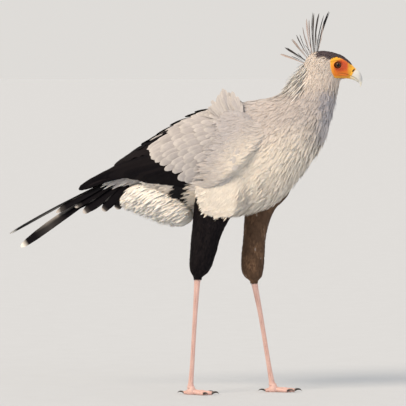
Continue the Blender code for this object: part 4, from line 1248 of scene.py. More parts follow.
@dataclass
class FlankFringe:
    """Long loose cream feathers of the flank, which hang over the top of the thigh in many soft layers.

    Attributes:
        side: Which flank.
        count: Number of feathers.
    """

    side: Side
    count: int = 4200

    def surface(self, x: Array, z: Array) -> Array:
        """Points of the plumage over thigh and belly at places of the side view."""
        forward = ramp(x - FLANKS[self.side][-1, 0], -58, 48)
        thigh = np.interp(z, OVER_THIGH[:, 0], OVER_THIGH[:, 1])
        belly = np.interp(z, OVER_BELLY[:, 0], OVER_BELLY[:, 1])
        return np.stack((x, self.side.value * (thigh * (1 - forward) + belly * forward), z), axis=-1)

    def build(self) -> Piece:
        """Make the fringe."""
        random = np.random.default_rng(60 + self.side.value)
        edge = FLANKS[self.side]
        # Towards the breast they thin out into the body's coat.
        x = edge[0, 0] + (edge[-1, 0] - edge[0, 0]) * random.beta(1.0, 1.35, self.count)
        low = np.interp(x, edge[:, 0], edge[:, 1])
        top = np.interp(x, edge[0, 0] + np.array((0, 55)), (FLANK_TOP - 34, FLANK_TOP))
        z = low + 7 + (top - low) * random.random(self.count) ** 1.15
        free = ramp(z, low + 52, -45)
        length = random.uniform(26, 48, self.count)
        fall = np.minimum(length * 0.86, z - low + random.normal(0, 5.5, self.count))
        shares = np.array(LONG_TUFT.shares)
        drift = (length * random.uniform(0.15, 0.7, self.count))[:, None]
        line_x = x[:, None] + drift * (1 - shares) + random.normal(0, 5, (self.count, 1)) * shares
        line_z = z[:, None] - fall[:, None] * shares ** 1.1
        line = self.surface(line_x, line_z)
        stand = 0.5 + 3.5 * free[:, None] * random.random((self.count, 1))
        rise = -3.5 * (1 - shares) ** 2 + stand * shares
        line[..., 1] += self.side.value * rise
        bow = random.normal(0, 2.2, (self.count, 1)) * np.sin(math.pi * shares)
        line[..., 0] += bow
        facing = np.stack((0 * line_x - 0.1, 0 * line_x + self.side.value, 0.35 + 0 * line_x), axis=-1)
        facing = facing + random.normal(0, 0.08, (self.count, 1, 3))
        tint = blend(plumage_colour(line[:, 0] + (30, 0, 20)),
                     blend(CREAM, WHITE, random.random(self.count)),
                     0.15 + 0.35 * free)
        width = random.choice((0.8, 1.4, 2.6, 3.6), self.count)
        flat = np.stack(((x + 60) / 400, (z - 480) / 300 + (0.5 if self.side is Side.LEFT else 0.0)),
                        axis=-1)
        batch = BladeBatch(f"fringe_flank_{self.side.word}")
        batch.add(LONG_TUFT, line, facing, width, tint, flat, random)
        return batch.build(DOWN)


@dataclass
class Undertail:
    """Loose white feathers under the tail, in soft overlapping locks.

    Attributes:
        rows: Rows of feathers from front to back.
        around: Feathers round each row.
    """

    rows: int = 40
    around: int = 96

    def build(self) -> Piece:
        """Make the feathers. Slow waves over the coat part them into locks."""
        random = np.random.default_rng(70)
        row, column = np.divmod(np.arange(self.rows * self.around), self.around)
        count = len(row)
        place = 0.1 + (len(FLUFF_CORE) - 1.2) * (row + random.uniform(-0.6, 0.6, count)) / self.rows
        place = np.clip(place, 0.05, len(FLUFF_CORE) - 1.02)
        turn = 145 * (2 * (column + 0.5 * (row % 2) + random.uniform(-0.5, 0.5, count)) / self.around - 1)
        wave = np.sin(place * 5.1 + turn * 0.043) * np.sin(turn * 0.11 - place * 2.3)
        root = stack_surface(FLUFF_CORE, place, turn, -FLUFF_COAT - 1)
        out = stack_normals(FLUFF_CORE, place, turn)
        length = random.uniform(30, 50, count) * np.interp(place, (0, 1.5, 4, 6), (0.7, 0.95, 1.05, 0.85))
        sink = np.interp(place, (0, 2, 5), (-0.4, -0.52, -0.62))
        sweep = np.stack((0 * turn - 0.76, 0.1 * out[:, 1] + 0.12 * wave, sink + 0.1 * wave), axis=-1)
        stand = (9 + 2 * wave + 5 * random.random(count) ** 4)[:, None]
        tip = root + out * stand + unit(sweep) * length[:, None]
        bend = root + out * (stand + 6) + unit(sweep) * length[:, None] * 0.35
        line = quadratic(root, bend, tip, np.array(LONG_TUFT.shares))
        facing = np.repeat((out + (0, 0, 0.45))[:, None], line.shape[1], axis=1)
        facing = facing + random.normal(0, 0.06, (count, 1, 3))
        # Painted shade: the hollow behind the thigh is painted brownish.
        hollow_shade = ramp(root[:, 0], -50, 40) * ramp(root[:, 2], 520, 40)
        tint = blend(CREAM, WHITE, 0.7 + 0.3 * random.random(count))
        tint = blend(tint, UMBER, hollow_shade * 0.4 * random.random(count))
        flat = np.stack((place / len(FLUFF_CORE), (turn + 180) / 360), axis=-1) * 0.98 + 0.01
        batch = BladeBatch("coat_undertail")
        batch.add(LONG_TUFT, line, facing, random.choice((0.8, 1.8, 3.2, 4.4), count), tint, flat, random)
        return batch.build(DOWN)


@dataclass
class ShoulderCoat:
    """Breast feathers that lie back over the front of one folded wing, so that its edge stays hidden.

    Attributes:
        side: Which shoulder.
        count: Number of roots that are tried.
    """

    side: Side
    count: int = 5200

    def build(self) -> Piece:
        """Make the feathers, higher over the thick of the wing."""
        random = np.random.default_rng(80 + self.side.value)
        place, turn = random.uniform(5.2, 8.5, self.count), random.uniform(20, 124, self.count)
        rear = np.interp(turn, (20, 45, 70, 95, 120), (6.9, 6.7, 6.45, 6.1, 5.8))
        rear = rear + random.normal(0, 0.2, self.count)
        keep = (place > rear) & (self.over(place, turn) > 0.5)
        place, turn = place[keep], turn[keep]
        count = len(place)
        shares = np.array(TUFT.shares)
        reach = random.uniform(0.5, 0.85, count)
        line_place = place[:, None] - reach[:, None] * shares
        line_turn = turn[:, None] + (random.normal(0, 3, count) + 2)[:, None] * shares
        lift = self.over(line_place, line_turn) - 3.0 * (1 - shares) ** 2
        lift = lift + shares * random.uniform(0.5, 2.5, (count, 1))
        line = form_points(line_place, self.side.value * line_turn, lift)
        facing = form_normals(line_place, self.side.value * line_turn)
        facing = facing + random.normal(0, 0.05, (count, 1, 3))
        batch = BladeBatch(f"coat_shoulder_{self.side.word}")
        wide = random.choice((1.4, 3.0, 4.4, 5.0), count)
        grey = 0.65 * ramp(place, 7.1, -0.9)
        tint = blend(plumage_colour(line[:, 0]), GREY, grey)
        batch.add(TUFT, line, facing, wide, tint, form_map(place, self.side.value * turn), random)
        return batch.build(SOFT_FEATHERS)

    @staticmethod
    def over(place: Array, turn: Array) -> Array:
        """Height of the folded wing over the form at stations and angles."""
        upper, lower = np.moveaxis(follow_rows(WING_EDGES, np.clip(place, 0, 8)), -1, 0)
        inside = ramp(turn - upper, -9, 12) * ramp(lower - turn, -17, 12)
        return 19.5 * inside * ramp(place, 8.4, -1.5)


@dataclass(frozen=True)
class Tier:
    """One row of feathers of the folded wing.

    Attributes:
        tips: Stations and angles that the tips follow, from the back to the belly.
        root_share: How far from the shoulder to the tip the roots lie.
        lifts: Heights of root, middle and tip over the form.
        half_width: Half width of a feather.
        count: Number of feathers.
        shape: Outline of a feather.
        black: Whether the feathers are black.
        tilt: How far each leans over its neighbour, in degrees.
    """

    tips: tuple[tuple[float, float], ...]
    root_share: float
    lifts: tuple[float, float, float]
    half_width: float
    count: int
    shape: BladeShape
    black: bool
    tilt: float


TIERS = (
    Tier(((0.45, 70), (0.2, 90), (0.8, 100)), 0.42, (4.2, 4.6, 3.6), 14, 6, FLIGHT, True, 11),
    Tier(((1.05, 64), (1.25, 92), (2.0, 111), (3.0, 120), (4.05, 122)), 0.4, (4.5, 7.2, 6.5), 17, 13, FLIGHT,
         True, 9),
    Tier(((1.5, 38), (2.0, 28), (2.4, 20)), 0.36, (3.0, 10.5, 11.0), 19, 5, FLIGHT, True, 8),
    Tier(((3.0, 34), (3.05, 56), (3.3, 77), (3.8, 96), (4.4, 112), (5.15, 120), (5.9, 117)), 0.44,
         (3.0, 10.0, 10.5), 16, 15, COVERT, False, 7),
    Tier(((3.4, 32), (3.55, 55), (3.8, 77), (4.35, 97), (5.0, 110), (5.6, 114)), 0.4,
         (3.0, 12.0, 12.5), 14, 15, COVERT, False, 7),
    Tier(((3.85, 30), (4.05, 54), (4.35, 77), (4.9, 97), (5.6, 108)), 0.36, (3.0, 14.0, 14.5), 13, 15,
         COVERT, False, 7),
    Tier(((4.3, 33), (4.5, 57), (4.85, 79), (5.45, 97), (6.1, 106)), 0.31, (3.0, 15.5, 16.0), 12, 15, COVERT,
         False, 6),
    Tier(((4.8, 36), (5.05, 60), (5.45, 81), (6.05, 97), (6.6, 101)), 0.26, (3.0, 17.0, 17.3), 11, 15,
         COVERT, False, 6),
    Tier(((5.2, 39), (5.5, 62), (5.95, 82), (6.5, 94)), 0.2, (3.0, 18.0, 18.3), 10, 14, COVERT, False, 6),
    Tier(((5.6, 42), (5.95, 63), (6.4, 80), (6.9, 90)), 0.14, (2.5, 18.5, 18.6), 9, 13, COVERT, False, 5),
    Tier(((3.1, 17), (4.0, 13), (5.0, 14), (5.8, 16)), 0.42, (2.5, 11.0, 14.0), 15, 10, COVERT, False, 6),
    Tier(((4.2, 22), (5.0, 22), (5.8, 26), (6.3, 30)), 0.35, (2.5, 14.0, 16.5), 12, 9, COVERT, False, 6),
    Tier(((5.3, 30), (6.0, 32), (6.5, 38)), 0.25, (2.0, 15.0, 17.5), 10, 8, COVERT, False, 5),
)
# Station and angle of the shoulder, which the feathers of the wing fan out from.
SHOULDER = np.array((7.4, 66.0))
# Ridge of the ruffled scapulars that stand off each shoulder: x, y and z of the highest tips.
RAISED = {
    Side.RIGHT: rows_of(
        (84, -52, 815), (95, -46, 828), (108, -40, 838), (118, -33, 856), (127, -36, 846), (137, -36, 842),
        (149, -38, 847), (159, -43, 832), (171, -48, 815), (184, -55, 797)),
    Side.LEFT: rows_of(
        (84, 50, 812), (98, 42, 826), (108, 34, 838), (118, 40, 832), (130, 44, 834), (150, 50, 815)),
}
RAISED_COUNT = 64
# Black tertials of the far wing that rise beside the back.
FAR_TERTIALS = Tier(((2.5, 17), (3.5, 11), (4.7, 10)), 0.4, (3.0, 17.0, 23.0), 13, 6, FLIGHT, True, 8)
# Painted shade of the gap between the shoulder feathers, drawn as one black feather: its station, angle,
# length and half width.
SHADE_STREAK = (6.55, 58, 34.0, 2.6)


@dataclass
class Wing:
    """One folded wing: black flight feathers under tiers of grey coverts, and the scapulars above.

    Attributes:
        side: Which wing.
        seed: Seed of the small differences.
    """

    side: Side
    seed: int = 23

    def build(self) -> list[Piece]:
        """Make the flight feathers and the coverts as two pieces."""
        random = np.random.default_rng(self.seed)
        flight = BladeBatch(f"wing_{self.side.word}_flight")
        coverts = BladeBatch(f"wing_{self.side.word}_coverts")
        for number, tier in enumerate(TIERS):
            self.lay(flight if tier.black else coverts, tier, number, random)
        if self.side is Side.LEFT:
            self.lay(flight, FAR_TERTIALS, len(TIERS), random)
        self.raise_scapulars(coverts, random)
        return [flight.build(BLACK_VANES), coverts.build(VANES)]

    def lay(self, batch: BladeBatch, tier: Tier, number: int, random: Random) -> None:
        """Lay one tier on the form.

        Args:
            batch: Where the feathers go.
            tier: The row.
            number: Its number, which sets its place on the map.
            random: Source of the small differences.
        """
        tip = even_rows(np.array(tier.tips, float), tier.count)
        tip[:, 0] += random.normal(0, 0.045, tier.count)
        tip[:, 1] += random.normal(0, 1.2, tier.count)
        root = SHOULDER + (tip - SHOULDER) * tier.root_share
        shares = np.array(tier.shape.shares)[None, :]
        place, angle = (root[:, k : k + 1] + (tip - root)[:, k : k + 1] * shares for k in (0, 1))
        root_lift, middle_lift, tip_lift = tier.lifts
        lift = root_lift * (1 - shares) ** 2 + middle_lift * 2 * shares * (1 - shares) + tip_lift * shares**2
        lift = lift + random.normal(0, 0.5, (tier.count, 1)) * shares + 0.12 * np.arange(tier.count)[:, None]
        # Covert tips curl off the wing a little, which gives the scalloped shadows.
        curl = 0.0 if tier.black else 1.0
        end = np.clip((shares - 0.75) / 0.25, 0, 1) ** 2
        lift = lift + curl * random.uniform(0.3, 2.4, (tier.count, 1)) * end
        line = form_points(place, self.side.value * angle, lift)
        normals = unit(form_normals(place, self.side.value * angle))
        axis = unit(line[:, -1] - line[:, 0])[:, None]
        lean = np.radians(self.side.value * (tier.tilt + random.normal(0, 1.5, tier.count)))[:, None, None]
        facing = normals * np.cos(lean) + np.cross(axis, normals) * np.sin(lean)
        if tier.black:
            tint = np.repeat(BLACK[None], tier.count, axis=0)
            tint = blend(tint, SOOT, random.random(tier.count) * 0.5)
        else:
            tint = blend(COVERT_GREY, GREY, 0.25 + random.random(tier.count) * 0.7)
            front = ramp(tip[:, 0], 5.2, 1.8)
            tint = blend(tint, PALE_GREY, front * 0.8)
        cell = 1 / 16
        flat = np.stack((cell * (0.5 + np.arange(tier.count)), np.full(tier.count, cell * (number + 0.04))),
                        axis=-1)
        batch.add(tier.shape, line, facing, tier.half_width * random.uniform(0.93, 1.08, tier.count), tint,
                  flat, random, patch=cell * 0.92, marks=Mark.PLAIN if tier.black else Mark.PALE_EDGE)

    def raise_scapulars(self, batch: BladeBatch, random: Random) -> None:
        """Add the ruffled feathers that stand off the shoulder, and below them one black feather as painted
        shade of the gap between them.
        """
        shares = np.array(COVERT.shares)
        ridge, count = RAISED[self.side], RAISED_COUNT
        along = np.sort(random.random(count))
        tip = np.stack([np.interp(along, np.linspace(0, 1, len(ridge)), line) for line in ridge.T], axis=-1)
        below = 26 * random.random(count)
        below[::8] = 0
        tip += np.stack((-0.35 * below, self.side.value * (0.55 * below + random.normal(0, 2, count)),
                         -below), axis=-1)
        place, angle = 6.15 + 0.95 * along, self.side.value * (50 - 8 * along + random.normal(0, 4, count))
        root = form_points(place, angle, 3.0)
        out = unit(form_normals(place, angle))
        line = quadratic(root, root * 0.5 + tip * 0.5 + out * 8 + random.normal(0, 1.5, (count, 3)), tip,
                         shares)
        facing = np.repeat((out + random.normal((0.3, 0, 0), 0.22, (count, 3)))[:, None], len(shares),
                           axis=1)
        flat = np.stack(((0.5 + np.arange(count) % 16) / 16, (15.04 + 0.2 * (np.arange(count) // 16)) / 16),
                        axis=-1)
        tint = blend(GREY, PALE_GREY, random.random(count))
        batch.add(COVERT, line, facing, random.uniform(3.5, 7.5, count), tint, flat, random, patch=0.012,
                  marks=Mark.PALE_EDGE)
        if self.side is Side.RIGHT:
            # Painted shade: one black feather lies in the gap below the ruffle.
            place, angle, length, half_width = np.array(SHADE_STREAK)[:, None]
            start = form_points(place, -angle, 19.5)
            end = start + np.array((-0.86, 0.0, -0.42)) * length
            streak = quadratic(start, (start + end) / 2, end, shares)
            over = np.repeat(form_normals(place, -angle)[:, None], len(shares), axis=1)
            batch.add(COVERT, streak, over, half_width, BLACK[None], np.array(((0.9, 0.95),)), random,
                      patch=0.04)


# Tail feathers of one side, from the centre out: tip x, y and z, half width, and how far the vane leans out.
TAIL_FEATHERS = {
    Side.RIGHT: rows_of(
        (-465, -5, 405, 15, 62), (-362, -11, 503, 15, 34), (-308, -15, 519, 15, 46),
        (-283, -18, 503, 15, 56), (-226, -21, 509, 15, 64), (-186, -22, 514, 14, 72)),
    Side.LEFT: rows_of(
        (-499, 4, 441, 14, 12), (-357, 11, 509, 15, 34), (-313, 15, 514, 15, 46), (-279, 18, 507, 15, 56),
        (-230, 21, 512, 15, 64), (-183, 22, 518, 14, 72)),
}
TAIL_ROOT_X = -138.0


@dataclass
class Tail:
    """The closed tail: twelve long feathers in steps, with white coverts over and beside their roots.

    Attributes:
        seed: Seed of the small differences.
        covert_count: Number of small white and grey feathers over the roots.
    """

    seed: int = 90
    covert_count: int = 460

    def build(self) -> list[Piece]:
        """Make the long feathers and the coverts."""
        random = np.random.default_rng(self.seed)
        batch = BladeBatch("tail_feathers")
        shares = np.array(FLIGHT.shares)
        for side in Side:
            for number, (tip_x, tip_y, tip_z, half_width, lean) in enumerate(TAIL_FEATHERS[side]):
                root = np.array((TAIL_ROOT_X - 3 * number, side.value * (3 + 2.4 * number),
                                 627 - 6.5 * number))
                tip = np.array((tip_x, tip_y, tip_z))
                rise = np.array((0, side.value * (2 + number), 13 - 3 * number))
                line = quadratic(root[None], ((root + tip) / 2 + rise)[None], tip[None], shares)
                roll = np.radians(lean * (0.45 + 0.55 * shares))
                facing = np.stack((0.3 * np.cos(roll), side.value * np.sin(roll), np.cos(roll)),
                                  axis=-1)[None]
                marks = Mark.BANDED if number == 0 else Mark.GREY_TIP
                cell = np.array((((number + 0.5) / 6, 0.02 if side is Side.RIGHT else 0.52),))
                batch.add(FLIGHT, line, facing, np.array((half_width,)), BLACK[None], cell, random,
                          patch=0.15, marks=marks)
        return [batch.build(BLACK_VANES), self.coverts(random)]

    def coverts(self, random: Random) -> Piece:
        """Make the upper and side tail coverts, white with grey streaks."""
        count = self.covert_count
        place = random.uniform(0.0, 3.8, count)
        turn = random.uniform(-180, 180, count)
        root = stack_surface(TAIL_STUMP, place, turn, -2.0)
        length = random.uniform(45, 85, count)
        back = np.array((-0.88, 0, -0.42))
        out = stack_normals(TAIL_STUMP, place, turn)
        tip = root + back * length[:, None] + out * random.uniform(0, 5, count)[:, None]
        line = quadratic(root, (root + tip) / 2 + out * 4, tip, np.array(LONG_TUFT.shares))
        tint = blend(GREY, WHITE, random.random(count))
        flat = np.stack((place / 5, (turn + 180) / 360), axis=-1) * 0.98 + 0.01
        batch = BladeBatch("tail_coverts")
        batch.add(LONG_TUFT, line, np.repeat(out[:, None], line.shape[1], axis=1),
                  random.uniform(3.0, 6.0, count),
                  tint, flat, random)
        return batch.build(SOFT_FEATHERS)


# Crest feathers of one side, from the front back: root station and angle, tip x, tip z, spread, half width
# and how dark it is.
CREST = rows_of(
    (16.45, 7, 412, 1068, 12, 3.0, 1.0), (16.35, 15, 397, 1058, 5, 3.6, 1.0),
    (16.2, 6, 384, 1062, 14, 3.0, 0.9), (16.05, 17, 366, 1066, 6, 2.8, 0.9),
    (15.9, 6, 350, 1048, 16, 3.4, 0.15), (15.65, 17, 338, 1024, 6, 3.7, 0.0),
    (15.4, 7, 322, 1003, 18, 3.3, 0.85), (15.15, 17, 306, 990, 8, 3.3, 0.1),
    (14.9, 7, 289, 968, 19, 2.8, 0.95), (14.6, 15, 274, 949, 8, 2.8, 0.3))
# Hackles: root station and angle, length and how far the tip stands off.
HACKLES = rows_of(
    (14.5, 14, 44, 24), (14.3, 36, 38, 18), (14.0, 6, 46, 26), (13.9, 28, 42, 21), (13.6, 10, 50, 20),
    (13.5, 38, 43, 17), (13.1, 0, 50, 19), (13.05, 24, 48, 17), (12.95, 50, 41, 15), (12.7, 10, 50, 17),
    (12.6, 37, 46, 16), (12.3, 0, 48, 16))


@dataclass
class Crest:
    """Long spatulate crest feathers, the hackles of the nape and the small feathers round their roots.

    Attributes:
        seed: Seed of the small differences.
        hackle_copies: Hackles made round each named one.
    """

    seed: int = 11
    hackle_copies: int = 26

    def build(self) -> list[Piece]:
        """Make crest and hackles."""
        return [self.crest(), self.hackles()]

    def crest(self) -> Piece:
        """Make the twenty long feathers and a fine companion for each."""
        random = np.random.default_rng(self.seed)
        batch = BladeBatch("crest_feathers")
        shares = np.array(PLUME.shares)
        for side in Side:
            for row, (place, angle, tip_x, tip_z, spread, half_width, dark) in enumerate(CREST):
                root = form_points(place, side.value * angle, -5.0)
                shift = random.uniform(-4, 4, 3) if side is Side.LEFT else np.zeros(3)
                tip = np.array((tip_x, side.value * spread, tip_z)) + shift
                bend = (root + tip) / 2 + np.array((-7, side.value * 3, 5))
                turn = math.radians(random.uniform(-50, 50) + side.value * 20)
                facing = np.tile(np.array((math.cos(turn), math.sin(turn), 0.2)), (1, len(shares), 1))
                cell = np.array((((row + 0.5) / 10, 0.02 if side is Side.RIGHT else 0.35),))
                tint = blend(PINK_GREY, BLACK, np.array((dark,)))
                batch.add(PLUME, quadratic(root[None], bend[None], tip[None], shares), facing,
                          np.array((half_width,)), tint, cell, random, patch=0.09)
                short = random.uniform(0.35, 0.75)
                near = root + random.uniform(-4, 4, 3)
                end = root + (tip - root) * short + random.uniform(-9, 9, 3)
                arc = (near + end) / 2 + random.uniform(-5, 5, 3)
                shade = blend(PINK_GREY, BLACK, np.array((float(random.random() > 0.5),)))
                spot = np.array((((row + 0.5) / 10, 0.68 if side is Side.RIGHT else 0.84),))
                batch.add(PLUME, quadratic(near[None], arc[None], end[None], shares), facing,
                          np.array((random.uniform(0.8, 1.4),)), shade, spot, random, patch=0.06)
        return batch.build(VANES)

    def hackles(self) -> Piece:
        """Make the pointed striped feathers that stand off the nape."""
        random = np.random.default_rng(self.seed + 1)
        rows = np.repeat(HACKLES, 2 * self.hackle_copies, axis=0)
        count = len(rows)
        side = np.where(np.arange(count) % 2 == 0, -1.0, 1.0)
        place = rows[:, 0] + random.uniform(-0.45, 0.4, count)
        turn = side * np.abs(rows[:, 1] + random.normal(0, 9, count))
        out = unit(form_normals(place, turn))
        back = unit(form_points(place - 0.6, turn) - form_points(place, turn))
        root = form_points(place, turn, -3.0)
        reach = (rows[:, 2] * random.uniform(0.7, 1.25, count))[:, None]
        bend = root + back * reach * 0.35 + out * random.uniform(6, 14, count)[:, None]
        tip = root + back * reach + out * (rows[:, 3] * random.uniform(0.35, 1.35, count))[:, None]
        line = quadratic(root, bend, tip, np.array(LONG_TUFT.shares))
        pale = blend(PALE_GREY, WHITE, 0.3 + 0.6 * random.random(count))
        tint = blend(pale, SOOT, (random.random(count) > 0.9).astype(float) * 0.7)
        batch = BladeBatch("hackles")
        batch.add(LONG_TUFT, line, np.repeat(out[:, None], line.shape[1], axis=1),
                  random.uniform(0.6, 1.6, count),
                  tint, form_map(place, turn), random)
        return batch.build(SOFT_FEATHERS)


UPPER_BILL = rows_of(
    (474, 921, 466, 893, 15.5), (478.5, 917, 472.5, 890.7, 14), (484, 911, 479, 888.2, 12.5),
    (491, 906, 485.5, 884.8, 10.5), (498, 899, 490.5, 881, 8.5), (503, 889, 494, 876.5, 6.5),
    (505, 877, 496.8, 870.5, 4.2), (503, 866, 498.5, 863.5, 2.0), (500.4, 858.2, 499.6, 858.2, 0.7))
LOWER_BILL = rows_of(
    (464, 892.9, 463, 882, 14), (472.5, 890.2, 470.5, 880.5, 12.5), (479, 887.7, 478, 878.5, 10.5),
    (485.5, 884.3, 486, 875, 8), (490.5, 880.5, 491.5, 871.5, 5.5), (493.8, 876, 494.6, 869.5, 2.5))
NOSTRIL = np.array((481.5, 904.2))
NOSTRIL_TILT = 52.0
NOSTRIL_HALF = (4.6, 1.7)


@dataclass
class Head:
    """What stands free of the skin on the head: bill, eyes and lashes.

    Attributes:
        bill_rings: Rings along each half of the bill.
        bill_sides: Points round each half.
        lash_count: Lashes over one eye.
    """

    bill_rings: int = 64
    bill_sides: int = 60
    lash_count: int = 17

    def bill(self, upper: bool) -> Piece:
        """Make one half of the bill, with cere and nostril on the upper one."""
        table = UPPER_BILL if upper else LOWER_BILL
        rows = even_rows(table, self.bill_rings)
        top = np.stack((rows[:, 0], 0 * rows[:, 0], rows[:, 1]), axis=-1)
        bottom = np.stack((rows[:, 2], 0 * rows[:, 2], rows[:, 3]), axis=-1)
        flat, crown = (bottom, top) if upper else (top, bottom)
        turn = np.linspace(0, math.pi, self.bill_sides)[None, :, None]
        # A keeled ridge: the arch is drawn in a little on the way up.
        rings = flat[:, None] + (crown - flat)[:, None] * np.sin(turn) ** 0.9
        rings[..., 1] += rows[:, 4, None] * np.cos(turn[..., 0]) * (1 + 0.06 * np.sin(2 * turn[..., 0]) ** 2)
        if upper:
            rings = self.shape_upper(rings)
        obj = set_outwards(mesh_object("bill_upper_horn" if upper else "bill_lower_horn",
                                       *loft_arrays(rings), BILL_HORN.material()))
        points = points_of(obj)
        paint(obj, self.bill_colours(points, upper))
        return obj

    def shape_upper(self, rings: Array) -> Array:
        """Swell the cere, sink the nostril and mark the edge between cere and horn."""
        x, z = rings[..., 0], rings[..., 2]
        pit, along, aside = self.nostril(x, z)
        rim = bell(np.hypot(along / (NOSTRIL_HALF[0] + 2.2), aside / (NOSTRIL_HALF[1] + 2.2)), 1, 0.3)
        cere = smooth_step((self.cere_edge(z) - x) / 1.2 + 0.5)
        swell = 0.8 * cere + 0.5 * rim * cere - 3.2 * pit
        rings = rings.copy()
        rings[..., 1] += np.sign(rings[..., 1]) * swell * smooth_step(np.abs(rings[..., 1]) / 4)
        return rings

    @staticmethod
    def nostril(x: Array, z: Array) -> tuple[Array, Array, Array]:
        """How deep the nostril is at places, from 0 to 1, and how far they lie along and across it."""
        slant = math.radians(NOSTRIL_TILT)
        along = (x - NOSTRIL[0]) * math.cos(slant) + (z - NOSTRIL[1]) * math.sin(slant)
        aside = -(x - NOSTRIL[0]) * math.sin(slant) + (z - NOSTRIL[1]) * math.cos(slant)
        return np.exp(-((along / NOSTRIL_HALF[0]) ** 4) - (aside / NOSTRIL_HALF[1]) ** 4), along, aside

    @staticmethod
    def cere_edge(z: Array) -> Array:
        """Where the cere ends on the bill, as x for each height."""
        return np.interp(z, (880, 890, 898, 906, 913, 922), (474, 477, 480.5, 486.5, 489, 486))

    def bill_colours(self, points: Array, upper: bool) -> Array:
        """Colours of the bill: pale celadon horn, cream below, yellow cere and a dark nostril."""
        x, z = points[:, 0], points[:, 2]
        horn = blend(linear("#D6D5CF"), linear("#B4B6B8"), ramp(x, 492, 12) * ramp(z, 868, 14))
        if not upper:
            colour = blend(linear("#E8D6B0"), linear("#D9D7CE"), ramp(x, 478, 10))
            return blend(colour, YELLOW, ramp(x, 475, -5))
        edge = ramp(z - np.interp(x, UPPER_BILL[:7, 2], UPPER_BILL[:7, 3]), 3.0, -2.5)
        horn = blend(horn, linear("#E6E0CC"), edge * 0.6)
        colour = blend(horn, YELLOW, smooth_step((self.cere_edge(z) - x) / 1.5 + 0.5))
        pit = self.nostril(x, z)[0]
        return blend(colour, linear("#1A0E08"), smooth_step(pit * 1.8) * (np.abs(points[:, 1]) > 4))

    def eye(self, side: Side) -> Piece:
        """Make one eye: a ball whose front bulges as a cornea, with iris and pupil."""
        centre = EYE_CENTRE * (1, side.value, 1)
        gaze = unit(np.array((0.16, side.value, 0.02)))
        up = unit(np.cross(np.cross(gaze, (0, 0, 1)), gaze))
        aside = np.cross(gaze, up)
        polar = np.linspace(0.02, math.pi - 0.02, 40)
        radius = EYE_RADIUS * (1 - 0.015 * (1 - np.cos(polar)) + 0.02 * np.exp(-((polar / 0.45) ** 2)))
        centres = centre + gaze * (radius * np.cos(polar))[:, None]
        ring = (radius * np.sin(polar))[:, None]
        obj = set_outwards(mesh_object(f"eyeball_{side.word}",
                                       *loft_arrays(ellipse_rings(centres, up * ring, aside * ring, 48)),
                                       EYE.material()))
        away = np.degrees(np.arccos(np.clip(unit(points_of(obj) - centre) @ gaze, -1, 1)))
        iris = blend(linear("#5E3010"), linear("#2A1006"), ramp(away, 36, 14))
        paint(obj, blend(linear("#050304"), iris, ramp(away, 24, 3)))
        return obj

    def lashes(self, side: Side) -> Piece:
        """Make the long black lashes over one eye, set along a curve by a node tree."""
        turns = np.linspace(math.radians(20), math.radians(165), self.lash_count)
        base = EYE_CENTRE * (1, side.value, 1) + (0, side.value * 8.6, 0)
        out = np.stack((np.cos(turns), 0.25 * side.value * np.ones(len(turns)), np.sin(turns)), axis=-1)
        roots = base + out * (11.3, 1.0, 11.3)
        roots[:, 1] -= side.value * 2.2
        return RepeatTree("lashes").place(
            f"lashes_{side.word}", roots, unit(out + (0, 0.7 * side.value, 0)), np.full(len(turns), 7.5),
            CLAW_HORN, linear("#0B0A0C"), thickness=0.05)


